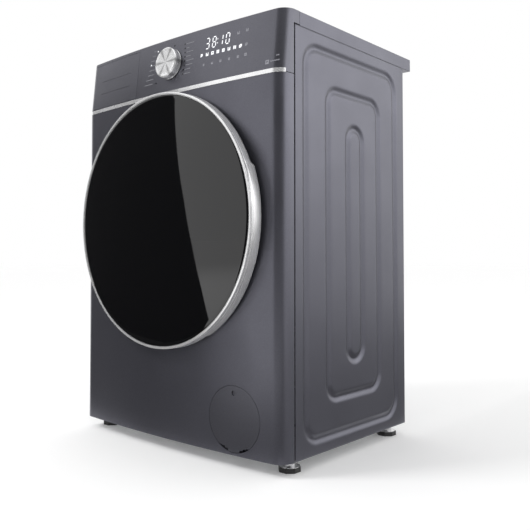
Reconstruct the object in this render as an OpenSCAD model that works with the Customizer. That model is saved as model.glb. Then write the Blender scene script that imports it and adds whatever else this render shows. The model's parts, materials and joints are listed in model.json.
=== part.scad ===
// Front load washing machine, 60 x 52 x 85 cm.
// Origin: on the floor, under the middle of the whole machine. +X right, +Y to the rear, +Z up.

/* [Cabinet] */
// Width of the cabinet
cabinet_w = 600; // [600:1:620]
// Height from the floor to the top of the worktop
cabinet_h = 850; // [845:1:860]
// Total depth, from the crest of the door glass to the rear of the worktop
total_d = 520; // [520:1:540]
// Height of the gap under the cabinet, where the feet show
foot_gap = 25; // [22:1:30]
// Thickness of the side panels' steel
side_sheet = 1.2; // [0.8:0.1:1.5]
// Thickness of the worktop's edge, seen from the side
worktop_t = 27; // [20:1:30]
// How far the worktop reaches behind the side panels
rear_overhang = 33; // [20:1:40]

/* [Front] */
// How far the middle of the front bulges ahead of its side edges
front_bulge = 25; // [24:0.5:26]
// Radius of the front's vertical corners
corner_r = 26; // [20:1:30]
// Height of the seam between the front panel and the control fascia
seam_z = 729; // [725:1:732]
// Height of the chrome strip above that seam
strip_h = 8; // [6:0.5:8]
// Angle at which the control fascia leans back
fascia_lean = 5.84; // [4:0.01:7]

/* [Door] */
// Height of the middle of the door
door_z = 469; // [465:1:472]
// Outer radius of the chrome ring
ring_r = 259.7; // [255:0.1:260]
// Radius of the black glass
glass_r = 255; // [250:0.1:255.2]
// How far the middle of the glass stands ahead of its edge
glass_dome = 18; // [10:1:18]
// Radius of the door opening in the front panel
mouth_r = 170.5; // [168:0.5:172]

/* [Controls] */
// Radius of the programme knob
knob_r = 32; // [28:1:33]
// How far the knob stands out of the fascia
knob_h = 17; // [14:1:20]
// Distance of the knob from the middle of the fascia
knob_x = 6; // [0:1:10]
// Height of the knob's middle
knob_z = 793.5; // [785:0.5:800]
// Right edge of the detergent drawer's front
drawer_right = -105; // [-110:1:-100]

/* [Tub and drum] */
// Outer radius of the tub
tub_r = 246; // [240:1:247]
// Outer radius of the drum
drum_r = 231.5; // [225:0.5:232]
// Radius of the drum's rear shaft
shaft_r = 12.5; // [10:0.5:13]
// Running clearance of shafts in their bores
fit_gap = 0.05; // [0.02:0.01:0.1]

/* [Filter and pump] */
// Distance of the filter flap from the middle of the front
filter_x = 187; // [180:1:190]
// Height of the filter flap's middle
filter_z = 92.5; // [92:0.5:95]
// Radius of the round filter flap
flap_r = 61.6; // [58:0.1:61.6]

/* [Hidden] */

fine = 180;
round = 64;
small = 32;
far = 400;

half_w = cabinet_w / 2;
side_front = -190;
side_rear = total_d / 2 - rear_overhang;
flange_y = side_front + 20.5;
worktop_front = side_front + 37;
panel_top = cabinet_h - worktop_t;
bow_front = side_front - front_bulge;
fascia_z0 = seam_z + strip_h;
strip_end = side_front - 0.3;

// The front's plan outline: one wide arc between two corner arcs.
corner_x = half_w - corner_r;
bow_r = 3347;
bow_centre_y = bow_front + bow_r;
corner_y = bow_centre_y - sqrt(pow(bow_r - corner_r, 2) - corner_x * corner_x);
function bow_y(x) = bow_centre_y - sqrt(bow_r * bow_r - x * x);
function fascia_y(x, z) = bow_y(x) + (z - fascia_z0) * tan(fascia_lean);

// Grooves pressed into the side panels. The middle line of each is [y0, y1, z0, z1, corner radius]
groove_w = 14;
groove_depth = 4;
grooves = [[-135, 186, 53, 792, 37], [-64, 118, 121.5, 722, 29], [4, 55, 189, 655, 25]];

foot_x = 270;
foot_front_y = -147;
foot_rear_y = 195;
foot_bore = 5.3;

ring_front = -242;
ring_rear = -222;
grip_rear = -214;
ring_wall = 3;
grip_angles = [21.5, -20, -60];
hinge_x = -240;
hinge_y = -233.5;
hinge_half = 58;
hinge_pin_r = 2.5;
latch_x = 190;
latch_y = -224;

drum_y0 = -140;
drum_y1 = 124;
tub_y0 = -154;
tub_y1 = 150;
pulley_y0 = 176;
pulley_y1 = 190;
pulley_r = 138;
motor_x = -60;
motor_z = 142;
motor_pulley_r = 12;
weight_r0 = 185;
weight_r1 = 240;

spring_x = 278;
spring_y = 80;
lug_z = 628;
hanger_z = 790;

damper_y = 60;
damper_foot = [215, 58];
damper_head = [150, 245];
damper_run = damper_head - damper_foot;
damper_l = norm(damper_run);
damper_tilt = atan2(damper_run[0], damper_run[1]);
damper_pin_r = 5;

flap_axis_y = bow_y(filter_x) + 2.6;
flap_axis_z = 37;
// Each step of the cut beside the flap's hinge: its distance from the middle, and its height
flap_cuts = [[14, -0.3], [21.5, 3.2], [29, 5]];
flap_slope = asin(filter_x / bow_r);
pump_inlet_y = -110;
pump_outlet_y = -66;
drain_x = 262;
drain_z = 700;
inlet_x = 225;
inlet_z = 772;
gland_x = -235;
sump_x = 60;

drawer_left = -290;
drawer_z0 = 739;
drawer_z1 = 844;
tray_x0 = -257;
tray_x1 = -113;

steel = [0.42, 0.42, 0.46];
chrome = [0.85, 0.85, 0.87];
black = [0.07, 0.07, 0.08];
zinc = [0.72, 0.73, 0.74];
grey = [0.35, 0.35, 0.37];
white = [0.9, 0.9, 0.9];
rubber = [0.25, 0.25, 0.26];

// ---- helpers ----

module slab(x0, x1, y0, y1, z0, z1) {
    translate([x0, y0, z0]) cube([x1 - x0, y1 - y0, z1 - z0]);
}

// A body turned about an axis along Y; its outline is [radius, y].
module lathe(x, z) {
    translate([x, 0, z]) rotate([-90, 0, 0]) rotate_extrude($fn = fine) children();
}

module rod_y(x, z, y0, y1, r) {
    translate([x, y0, z]) rotate([-90, 0, 0]) cylinder(r = r, h = y1 - y0, $fn = fine);
}

module rod_z(x, y, z0, z1, r) {
    translate([x, y, z0]) cylinder(r = r, h = z1 - z0, $fn = round);
}

module rod_x(x0, x1, y, z, r) {
    translate([x0, y, z]) rotate([0, 90, 0]) cylinder(r = r, h = x1 - x0, $fn = round);
}

module ring_y(x, z, y0, y1, r_out, r_in) {
    difference() {
        rod_y(x, z, y0, y1, r_out);
        rod_y(x, z, y0 - 1, y1 + 1, r_in);
    }
}

module ring_z(x, y, z0, z1, r_out, r_in) {
    difference() {
        rod_z(x, y, z0, z1, r_out);
        rod_z(x, y, z0 - 1, z1 + 1, r_in);
    }
}

module round_rect(u0, u1, v0, v1, r) {
    translate([u0 + r, v0]) square([u1 - u0 - 2 * r, v1 - v0]);
    translate([u0, v0 + r]) square([u1 - u0, v1 - v0 - 2 * r]);
    for (u = [u0 + r, u1 - r]) {
        for (v = [v0 + r, v1 - r]) {
            translate([u, v]) circle(r = r, $fn = round);
        }
    }
}

// An outline drawn in Y and Z, given a thickness along X, and one in X and Z, thick along Y.
module plate_x(x0, x1) {
    translate([x0, 0, 0]) rotate([90, 0, 90]) linear_extrude(x1 - x0) children();
}

module plate_y(y0, y1) {
    translate([0, y1, 0]) rotate([90, 0, 0]) linear_extrude(y1 - y0) children();
}

module bow_outline(inset, back) {
    intersection() {
        union() {
            intersection() {
                translate([0, bow_centre_y]) circle(r = bow_r - inset, $fn = 1440);
                translate([-corner_x, -far]) square([2 * corner_x, far + back]);
            }
            for (side = [-1, 1]) {
                translate([side * corner_x, corner_y]) circle(r = corner_r - inset, $fn = round);
            }
            translate([inset - half_w, corner_y]) square([2 * (half_w - inset), back - corner_y]);
        }
        translate([-far, -far]) square([2 * far, far + back]);
    }
}

module bow_body(inset, z0, z1) {
    translate([0, 0, z0]) linear_extrude(z1 - z0) bow_outline(inset, flange_y);
}

module lean_body(inset) {
    translate([0, bow_front, fascia_z0]) rotate([-fascia_lean, 0, 0])
        translate([0, -bow_front, -40]) linear_extrude(200) bow_outline(inset, 60);
}

// Places something on the fascia: local +Z points out of it and local +Y runs up it.
module on_fascia(x, z) {
    translate([x, fascia_y(x, z), z]) rotate([90 - fascia_lean, 0, 0]) children();
}

// A quarter bend of a hose, from local +X towards local +Y, about the local origin.
module bend(r_bend, r_out, r_in) {
    rotate_extrude(angle = 90, $fn = round) translate([r_bend, 0]) difference() {
        circle(r = r_out, $fn = small);
        circle(r = r_in, $fn = small);
    }
}

// ---- cabinet ----

// A band of the given width along the middle line of a groove
module groove_band(line, width) {
    half = width / 2;
    difference() {
        round_rect(line[0] - half, line[1] + half, line[2] - half, line[3] + half, line[4] + half);
        round_rect(line[0] + half, line[1] - half, line[2] + half, line[3] - half, line[4] - half);
    }
}

module side_panel() {
    color(steel) difference() {
        union() {
            slab(half_w - side_sheet, half_w, flange_y + 0.8, side_rear, foot_gap, panel_top - 0.2);
            slab(half_w - 18, half_w, side_rear - side_sheet, side_rear, foot_gap, panel_top - 0.2);
            slab(half_w - 15, half_w, flange_y + 0.8, side_rear,
                panel_top - 0.2 - side_sheet, panel_top - 0.2);
            for (line = grooves) {
                plate_x(half_w - side_sheet - groove_depth, half_w - 0.5)
                    groove_band(line, groove_w + 2 * side_sheet);
            }
        }
        for (line = grooves) {
            plate_x(half_w - groove_depth, half_w + 1) groove_band(line, groove_w);
        }
    }
}

module right_side_panel() {
    side_panel();
}

module left_side_panel() {
    mirror([1, 0, 0]) side_panel();
}

transit_at = [[-200, 320], [200, 320], [-200, 640], [200, 640]];

module rear_panel() {
    y0 = side_rear - side_sheet - 1.4;
    color(steel) difference() {
        union() {
            slab(-half_w + 3, half_w - 3, y0, y0 + 1.2, foot_gap + 2.5, panel_top - 2.5);
            // Stiffening folds along the top and the bottom edge
            for (z = [foot_gap + 36, panel_top - 24]) {
                slab(-half_w + 22, half_w - 22, y0 - 6, y0, z, z + 1.2);
            }
        }
        plate_y(y0 - 1, y0 + 3) round_rect(-150, 150, door_z - 220, door_z + 220, 60);
        for (p = transit_at) {
            rod_y(p[0], p[1], y0 - 1, y0 + 3, 12);
        }
        rod_y(inlet_x, inlet_z, y0 - 1, y0 + 3, 15);
        rod_y(drain_x, drain_z, y0 - 1, y0 + 3, 14);
        rod_y(gland_x, inlet_z, y0 - 1, y0 + 3, 9.4);
        // Cooling slots
        for (i = [0 : 7]) {
            slab(-190 + i * 18, -180 + i * 18, y0 - 1, y0 + 3, 740, 770);
        }
    }
}

module rear_cover() {
    y0 = side_rear - 1.4;
    color(zinc) difference() {
        union() {
            plate_y(y0, y0 + 1) round_rect(-168, 168, door_z - 238, door_z + 238, 66);
            plate_y(y0, y0 + 11) round_rect(-145, 145, door_z - 215, door_z + 215, 50);
        }
        plate_y(y0 - 1, y0 + 10) round_rect(-144, 144, door_z - 214, door_z + 214, 49);
    }
}

module panel_screws() {
    y0 = side_rear - 0.3;
    color(zinc) for (side = [-1, 1]) {
        for (dz = [-228, 0, 228]) {
            rod_y(side * (dz == 0 ? 158 : 100), door_z + dz, y0, y0 + 2.4, 5);
        }
        for (z = [60, 280, 500, 720]) {
            rod_y(side * (half_w - 9), z, side_rear + 0.1, side_rear + 2.5, 5);
        }
    }
}

module transit_caps() {
    y0 = side_rear - 1.3;
    color(black) for (p = transit_at) {
        rod_y(p[0], p[1], y0, y0 + 3, 16);
        ring_y(p[0], p[1], y0 - 12, y0 + 1, 11.8, 9.5);
    }
}

module base_tray() {
    wall = 2;
    rim_z = foot_gap + 17;
    x1 = half_w - 3;
    y0 = flange_y + 3;
    y1 = side_rear - 5;
    color(zinc) difference() {
        union() {
            slab(-x1, x1, y0, y1, foot_gap + 0.2, foot_gap + wall);
            // The apron that closes the bottom behind the front panel
            translate([0, 0, foot_gap + 2.2]) linear_extrude(1.6) bow_outline(2.4, y0 + 3);
            for (x = [-x1, x1 - wall]) {
                slab(x, x + wall, y0, y1, foot_gap + 0.2, rim_z);
            }
            for (y = [y0, y1 - wall]) {
                slab(-x1, x1, y, y + wall, foot_gap + 0.2, rim_z);
            }
            for (x = [-foot_x, foot_x]) {
                for (y = [foot_front_y, foot_rear_y]) {
                    rod_z(x, y, foot_gap + 1, foot_gap + 20, 14);
                }
            }
            for (side = [-1, 1]) {
                for (y = [damper_y - 14, damper_y + 10]) {
                    slab(side * damper_foot[0] - 13, side * damper_foot[0] + 13, y, y + 4,
                        foot_gap + 1, damper_foot[1] + 13);
                }
                rod_y(side * damper_foot[0], damper_foot[1], damper_y - 16, damper_y + 16,
                    damper_pin_r);
            }
            // Posts that carry the drain pump
            for (y = [-170, -40]) {
                slab(filter_x - 20, filter_x + 20, y, y + 12, foot_gap + 1, filter_z - 44);
            }
        }
        for (x = [-foot_x, foot_x]) {
            for (y = [foot_front_y, foot_rear_y]) {
                rod_z(x, y, foot_gap - 1, foot_gap + 40, foot_bore);
            }
        }
        rod_y(filter_x, filter_z, -far, y0, flap_r + 4.5);
        // Cooling openings under the motor
        for (i = [0 : 4]) {
            slab(-130 + i * 30, -115 + i * 30, -20, 90, foot_gap - 1, foot_gap + 10);
        }
    }
}

module foot(x, y) {
    color(black) {
        rod_z(x, y, 4, 10, 19);
        translate([x, y, 0]) rotate([0, 0, 22.5]) cylinder(r = 21.6, h = 9, $fn = 8);
        rod_z(x, y, 9, 15, 11);
        rod_z(x, y, 12, foot_gap + 38, foot_bore - 0.3);
        translate([x, y, foot_gap - 8]) cylinder(r = 9.8, h = 7, $fn = 6);
    }
}

module foot_front_left() {
    foot(-foot_x, foot_front_y);
}

module foot_front_right() {
    foot(foot_x, foot_front_y);
}

module foot_rear_left() {
    foot(-foot_x, foot_rear_y);
}

module foot_rear_right() {
    foot(foot_x, foot_rear_y);
}

module front_panel() {
    sheet = 1.5;
    color(steel) difference() {
        union() {
            difference() {
                bow_body(0, foot_gap + 0.3, seam_z);
                translate([0, 0, foot_gap + 0.3 + sheet])
                    linear_extrude(seam_z - foot_gap - 0.3 - 2 * sheet) bow_outline(sheet, far);
                slab(-half_w + 20, half_w - 20, side_front - 4, far, 0, far + far);
            }
            intersection() {
                bow_body(0.2, foot_gap + 1, seam_z);
                union() {
                    ring_y(0, door_z, -far, side_front - 6, mouth_r + 2, mouth_r);
                    ring_y(filter_x, filter_z, -far, side_front - 10, flap_r + 2.2, flap_r + 0.7);
                }
            }
        }
        rod_y(0, door_z, -far, side_front + 10, mouth_r);
        rod_y(filter_x, filter_z, -far, side_front + 10, flap_r + 0.7);
        slab(latch_x - 9, latch_x + 9, -far, side_front + 10, door_z - 13, door_z + 13);
    }
}

module control_fascia() {
    wall = 2.5;
    color(steel) difference() {
        intersection() {
            lean_body(0);
            union() {
                slab(-half_w, half_w, -far, worktop_front, fascia_z0 + 0.3, cabinet_h);
                // Beyond the strip's ends the fascia reaches down to the seam
                slab(-half_w, half_w, strip_end + 0.3, flange_y, seam_z + 1.2, fascia_z0 + 1);
            }
        }
        intersection() {
            lean_body(wall);
            slab(-half_w, half_w, -far, 0, fascia_z0 - 10, cabinet_h - 3);
        }
        slab(-far, far, flange_y, 0, fascia_z0 - 10, panel_top + 2);
        slab(drawer_left, drawer_right, -far, flange_y - 4, drawer_z0, drawer_z1);
        on_fascia(knob_x, knob_z) translate([0, 0, -20]) cylinder(r = 4, h = 30, $fn = small);
    }
}

module chrome_strip() {
    color(chrome) difference() {
        translate([0, 0, seam_z + 0.3]) linear_extrude(strip_h - 0.3)
            bow_outline(-0.8, flange_y);
        translate([0, 0, seam_z - 1]) linear_extrude(strip_h + 2) bow_outline(3, far);
        slab(-far, far, strip_end, far, seam_z - 1, fascia_z0 + 1);
    }
}

module worktop() {
    skin = 3.5;
    y1 = total_d / 2;
    color(steel) difference() {
        slab(-half_w, half_w, worktop_front + 0.6, y1, panel_top, cabinet_h);
        slab(-half_w + skin, half_w - skin, worktop_front + 0.6 + skin, side_rear + 0.5,
            panel_top - 1, cabinet_h - skin);
        slab(-half_w + skin, half_w - skin, side_rear, y1 - skin, panel_top + 2, cabinet_h - skin);
    }
}

module top_frame() {
    color(zinc) {
        difference() {
            slab(-half_w + 8, half_w - 8, 186, 210, panel_top - 24, panel_top - 2);
            slab(-half_w, half_w, 188, 208, panel_top - 22, panel_top - 1);
        }
        for (side = [-1, 1]) {
            x0 = side > 0 ? half_w - 17 : -half_w + 8;
            slab(x0, x0 + 9, -160, 187, panel_top - 24, panel_top - 2);
            for (y = [-spring_y, spring_y]) {
                difference() {
                    slab(side * spring_x - 8, side * spring_x + 12, y - 11, y + 11,
                        hanger_z, panel_top - 20);
                    slab(side * spring_x - 9, side * spring_x + 5, y - 3, y + 3,
                        hanger_z - 1, panel_top - 30);
                }
            }
        }
    }
}

// ---- water inlet and detergent drawer ----

module drawer_housing() {
    wall = 2.5;
    gap = 2.5;
    x0 = tray_x0 - gap - wall;
    x1 = tray_x1 + gap + wall;
    color(white) difference() {
        union() {
            slab(x0, x1, -166, 75, 744, 818);
            rod_z(-150, 50, 727, 746, 16);
            for (z = [inlet_z - 9, inlet_z + 9]) {
                rod_y(-150, z, 74, 97, 6);
            }
        }
        slab(x0 + wall, x1 - wall, -170, 75 - wall, 744 + wall, 818 - wall);
        rod_z(-150, 50, 720, 750, 13);
        for (z = [inlet_z - 9, inlet_z + 9]) {
            rod_y(-150, z, 70, 100, 4);
        }
    }
}

module drawer_front() {
    color(steel) difference() {
        intersection() {
            lean_body(0);
            slab(drawer_left + 0.6, drawer_right - 0.6, -far, side_front + 4,
                drawer_z0 + 0.6, drawer_z1 - 0.6);
        }
        intersection() {
            lean_body(2.5);
            slab(drawer_left + 6, drawer_right - 6, -far, side_front + 1.5,
                drawer_z0 - 5, drawer_z1 - 5);
        }
        // Two fine grooves across the front
        for (z = [772, 801]) {
            difference() {
                slab(drawer_left + 42, drawer_right - 28, -far, side_front, z, z + 1);
                lean_body(0.5);
            }
        }
    }
}

module drawer_tray() {
    wall = 2;
    y0 = side_front + 4.1;
    y1 = 60;
    z0 = 749;
    thirds = [tray_x0, tray_x0 + 48, tray_x0 + 96, tray_x1];
    color(white) difference() {
        slab(tray_x0, tray_x1, y0, y1, z0, 812);
        for (i = [0 : 2]) {
            slab(thirds[i] + wall, thirds[i + 1] - (i == 2 ? wall : 0), y0 + 3, y1 - wall,
                z0 + wall, 900);
        }
    }
}

module siphon_cap() {
    color([0.35, 0.55, 0.8]) {
        slab(tray_x0 + 52, tray_x0 + 93, 5, 45, 776, 780);
        ring_z(tray_x0 + 72.5, 25, 752, 777, 9, 6.5);
    }
}

module inlet_valve() {
    y1 = total_d / 2 - 12;
    color(white) difference() {
        union() {
            slab(inlet_x - 20, inlet_x + 20, 188, 216, inlet_z - 18, inlet_z + 18);
            rod_y(inlet_x, inlet_z, 216, 223, 20);
            rod_y(inlet_x, inlet_z, 216, side_rear, 14.5);
            rod_y(inlet_x, inlet_z, side_rear - 1, y1, 13.2);
            for (z = [inlet_z - 9, inlet_z + 9]) {
                rod_x(inlet_x - 42, inlet_x - 19, 202, z, 6);
            }
            for (dx = [-11, 11]) {
                rod_z(inlet_x + dx, 202, inlet_z - 44, inlet_z - 17, 9);
            }
        }
        rod_y(inlet_x, inlet_z, 205, y1 + 1, 9);
    }
}

module inlet_hoses() {
    r_bend = 18;
    x_end = -150;
    color(rubber) for (z = [inlet_z - 9, inlet_z + 9]) {
        difference() {
            rod_x(x_end + r_bend, inlet_x - 22, 202, z, 8);
            rod_x(x_end + r_bend - 1, inlet_x - 20, 202, z, 6.1);
        }
        translate([x_end + r_bend, 202 - r_bend, z]) rotate([0, 0, 90]) bend(r_bend, 8, 6.1);
        ring_y(x_end, z, 78, 202 - r_bend, 8, 6.1);
    }
}

module fill_hose() {
    color(rubber) {
        ring_z(-150, 50, 680, 742, 19, 16.2);
        for (z = [692 : 8 : 724]) {
            ring_z(-150, 50, z, z + 4, 21, 18);
        }
    }
}

// ---- electronics ----

module control_board() {
    color([0.1, 0.35, 0.2]) {
        slab(20, 280, -128, -126, 745, 812);
        for (i = [0 : 3]) {
            slab(40 + i * 34, 62 + i * 34, -146, -127.9, 752, 776);
            rod_y(55 + i * 38, 795, -152, -127.9, 8);
        }
    }
    color(zinc) for (i = [0 : 5]) {
        slab(200 + i * 12, 204 + i * 12, -158, -127.9, 750, 806);
    }
}

module display_board() {
    color([0.1, 0.35, 0.2]) on_fascia(knob_x, knob_z) difference() {
        union() {
            translate([-60, -28, -22]) cube([270, 66, 2]);
            translate([-9, -9, -20.1]) cube([18, 18, 12]);
            translate([82, 6, -20.1]) cube([112, 31, 9]);
            for (i = [0 : 7]) {
                translate([86.5 + i * 14.4, -5, -20.1]) cube([8, 8, 7]);
            }
        }
        translate([0, 0, -30]) cylinder(r = 3 + fit_gap, h = 30, $fn = small);
    }
}

module programme_knob() {
    lift = 1;
    color(chrome) on_fascia(knob_x, knob_z) {
        rotate_extrude($fn = fine) polygon([[0, lift + 4], [knob_r - 3, lift + 4], [knob_r - 3, lift],
            [knob_r, lift], [knob_r, lift + 3], [knob_r - 0.8, knob_h - 2],
            [knob_r - 2.4, knob_h], [0, knob_h]]);
        translate([0, 0, -19]) cylinder(r = 3, h = 24, $fn = small);
    }
}

module cord_gland() {
    y0 = side_rear - 1.2;
    color(black) difference() {
        union() {
            rod_y(gland_x, inlet_z, y0, y0 + 4, 14);
            rod_y(gland_x, inlet_z, y0 - 10, y0 + 16, 9);
        }
        rod_y(gland_x, inlet_z, y0 - 20, y0 + 20, 4.2);
    }
}

// ---- door ----

module door_lock() {
    color(black) difference() {
        slab(latch_x - 7.5, latch_x + 34, side_front - 15.5, side_front + 6, door_z - 29, door_z + 29);
        slab(latch_x - 6.5, latch_x + 8, -far, side_front + 2, door_z - 12, door_z + 12);
    }
}

module hinge_bracket() {
    back = bow_y(hinge_x + 36) - 0.2;
    color(zinc) difference() {
        union() {
            slab(hinge_x + 14, hinge_x + 36, back - 3.2, back, door_z - hinge_half - 4,
                door_z + hinge_half + 4);
            for (side = [-1, 1]) {
                translate([hinge_x, hinge_y, door_z + side * 48 - 10]) {
                    cylinder(r = 4.5, h = 20, $fn = round);
                    rotate([0, 0, 44]) translate([0, -2, 0]) cube([32, 4, 20]);
                }
            }
        }
        rod_z(hinge_x, hinge_y, 300, 600, hinge_pin_r + 0.01);
    }
}

module hinge_pin() {
    color(chrome) {
        rod_z(hinge_x, hinge_y, door_z - hinge_half - 2, door_z + hinge_half + 2, hinge_pin_r);
    }
}

module hinge_arm() {
    half = 36;
    color(zinc) difference() {
        union() {
            rod_z(hinge_x, hinge_y, door_z - half, door_z + half, 4.5);
            slab(hinge_x, hinge_x + 42, hinge_y - 2, hinge_y + 2, door_z - 34, door_z + 34);
            slab(hinge_x + 38, hinge_x + 42, hinge_y - 2, -222.1, door_z - 34, door_z + 34);
            slab(hinge_x + 38, hinge_x + 74, -226, -222.1, door_z - 34, door_z + 34);
        }
        rod_z(hinge_x, hinge_y, 300, 600, hinge_pin_r + fit_gap);
    }
}

// Keeps the hinge's space in the door's left side free.
module hinge_window(y0) {
    slab(-ring_r - 5, hinge_x + 48, y0, -222.01, door_z - 62, door_z + 62);
}

module door_ring() {
    r = ring_r;
    color(chrome) difference() {
        union() {
            lathe(0, door_z) polygon([[glass_r + 0.2, ring_front + 1], [glass_r + 1.2, ring_front],
                [r - 2, ring_front], [r - 0.7, ring_front + 0.6], [r, ring_front + 2],
                [r, ring_front + 8], [r - 0.9, ring_front + 8.6], [r - 0.9, ring_front + 10.4],
                [r, ring_front + 11], [r, ring_rear], [r - ring_wall, ring_rear],
                [r - ring_wall, ring_front + 3.8], [glass_r + 0.2, ring_front + 3.8]]);
            // The wall is deeper where the hand pulls, on the right and below
            intersection() {
                ring_y(0, door_z, ring_rear - 1, grip_rear, r, r - ring_wall);
                plate_y(-far, 0) translate([0, door_z])
                    polygon(concat([[0, 0]], [for (a = grip_angles) far * [cos(a), sin(a)]]));
            }
        }
        slab(-r - 5, hinge_x + 3, ring_front + 5, 0, door_z - 62, door_z + 62);
    }
}

// The glass is a shallow dome: y of its outer face at radius r
dome_r = (glass_r * glass_r + glass_dome * glass_dome) / (2 * glass_dome);
function dome_y(r) = ring_front - glass_dome + dome_r - sqrt(dome_r * dome_r - r * r);

module door_glass() {
    steps = 14;
    glass_t = 3.6;
    color(black) lathe(0, door_z) polygon(concat(
        [for (i = [0 : steps]) [glass_r * i / steps, dome_y(glass_r * i / steps)]],
        [for (i = [steps : -1 : 0]) [glass_r * i / steps, dome_y(glass_r * i / steps) + glass_t]]));
}

module door_frame() {
    r = ring_r - ring_wall - 0.2;
    color(grey) difference() {
        lathe(0, door_z) polygon([[r, -238.2], [r, -234.2], [205, -234.2], [205, -218],
            [148.5, -218], [148.5, -222], [201, -222], [201, -238.2]]);
        hinge_window(-far);
        slab(latch_x - 8, latch_x + 8, -far, 0, door_z - 10, door_z + 10);
    }
}

module door_bowl() {
    color([0.6, 0.65, 0.68]) lathe(0, door_z) polygon([[160, -226], [160, -222.1], [147.5, -222.1],
        [147.5, -198], [135, -150], [105, -108], [92, -104], [0, -104], [0, -109], [89, -109],
        [100.5, -112.5], [130, -152.5], [142.5, -199], [142.5, -226]]);
}

module latch_hook() {
    color(chrome) difference() {
        union() {
            rod_z(latch_x, latch_y, door_z - 7, door_z + 7, 4);
            slab(latch_x - 2, latch_x + 2, latch_y, side_front - 6, door_z - 7, door_z + 7);
            slab(latch_x - 2, latch_x + 5, side_front - 12, side_front - 6,
                door_z - 7, door_z + 7);
        }
        rod_z(latch_x, latch_y, door_z - 20, door_z + 20, 1.5);
    }
}

module door_gasket() {
    color(rubber) lathe(0, door_z) polygon([[mouth_r - 0.2, -209], [mouth_r - 0.2, -191],
        [181, -188], [181, -176], [176, -174], [176, -160], [172.3, -160], [172.3, -177],
        [178, -179], [178, -185.5], [167, -188.5], [167, -199], [148.3, -199], [148.3, -202],
        [167, -203], [167, -209]]);
}

// ---- tub ----

module tub_front() {
    wall = 3;
    color(grey) difference() {
        union() {
            rod_y(0, door_z, tub_y0, -0.1, tub_r);
            rod_y(0, door_z, -6, -0.1, tub_r + 8);
            rod_y(0, door_z, tub_y0 - 18, tub_y0 + 1, 172);
            slab(-80, 80, -130, -12, 200, 260);
            rod_z(sump_x, pump_inlet_y, 180, 202, 17);
            for (side = [-1, 1]) {
                spring_lug(side, -spring_y);
            }
        }
        rod_y(0, door_z, tub_y0 + 4, 1, tub_r - wall);
        rod_y(0, door_z, tub_y0 - 20, tub_y0 + 10, 168);
        slab(-77, 77, -127, -15, 203, 262);
        rod_z(sump_x, pump_inlet_y, 170, 210, 14);
        slab(-38, 38, -135, -120, 210, 222);
    }
}

// An arm that reaches out from the tub to a spring. Its root is cut off with the tub's inside.
module spring_lug(side, y) {
    translate([side > 0 ? 150 : -spring_x - 8, y - 8, lug_z - 6]) cube([spring_x + 8 - 150, 16, 12]);
}

module tub_rear() {
    wall = 3;
    color(grey) difference() {
        union() {
            rod_y(0, door_z, 0.1, tub_y1, tub_r);
            rod_y(0, door_z, 0.1, 6, tub_r + 8);
            rod_y(0, door_z, tub_y1 - 6, 172, 46);
            for (a = [0 : 30 : 330]) {
                translate([0, tub_y1, door_z]) rotate([0, a, 0]) slab(40, 232, -1, 12, -2, 2);
            }
            rod_z(-150, 50, 655, 692, 16);
            for (side = [-1, 1]) {
                spring_lug(side, spring_y);
                for (y = [damper_y - 14, damper_y + 10]) {
                    slab(side * damper_head[0] - 13, side * damper_head[0] + 13, y, y + 4,
                        damper_head[1] - 12, 285);
                }
                rod_y(side * damper_head[0], damper_head[1], damper_y - 16, damper_y + 16,
                    damper_pin_r);
            }
        }
        rod_y(0, door_z, -1, tub_y1 - 4, tub_r - wall);
        rod_y(0, door_z, tub_y1 - 10, 180, 26);
        rod_z(-150, 50, 640, 700, 13);
    }
}

// Two concrete segments in front of the tub, above and below the door, and one block on top
module counterweights() {
    reach = weight_r1 * 2;
    spread = 25;
    color([0.62, 0.61, 0.58]) {
        plate_y(tub_y0 - 20, tub_y0 - 0.3) for (up = [-1, 1]) {
            translate([0, door_z]) intersection() {
                difference() {
                    circle(r = weight_r1, $fn = fine);
                    circle(r = weight_r0, $fn = fine);
                }
                polygon([[0, 0], [reach * cos(spread), up * reach * sin(spread)],
                    [0, up * reach * 2], [-reach * cos(spread), up * reach * sin(spread)]]);
            }
        }
        difference() {
            slab(-88, 150, -60, 100, 640, 748);
            rod_y(0, door_z, -100, 120, tub_r + 0.3);
            rod_y(0, door_z, -6.4, 6.4, tub_r + 8.4);
        }
    }
}

module heater() {
    color(zinc) {
        slab(-45, 45, -133.4, -130.3, 206, 222.5);
        for (x = [-28, 28]) {
            rod_y(x, 216, -140, -48, 4);
        }
        translate([0, -48, 216]) rotate_extrude(angle = 180, $fn = round)
            translate([28, 0]) circle(r = 4, $fn = small);
    }
}

module shaft_bearings() {
    color(zinc) for (y = [146, 160]) {
        ring_y(0, door_z, y, y + 11, 26, shaft_r + fit_gap);
    }
}

module drive_motor() {
    color(black) difference() {
        union() {
            rod_y(motor_x, motor_z, -5, 120, 50);
            for (y = [20, 86]) {
                rod_y(motor_x, motor_z, y - 14, y + 14, 54);
                slab(motor_x - 30, motor_x + 30, y - 5, y + 5, motor_z + 30, 240);
            }
        }
        rod_y(0, door_z, -10, 130, tub_r + 0.3);
        rod_y(motor_x, motor_z, 20, 130, 6 + fit_gap);
    }
}

module motor_pulley() {
    color(zinc) {
        rod_y(motor_x, motor_z, 24, pulley_y1, 6);
        rod_y(motor_x, motor_z, pulley_y0 - 2, pulley_y1, motor_pulley_r);
        for (y = [pulley_y0 - 2, pulley_y1 - 0.5]) {
            rod_y(motor_x, motor_z, y, y + 1.5, motor_pulley_r + 3);
        }
    }
}

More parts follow.
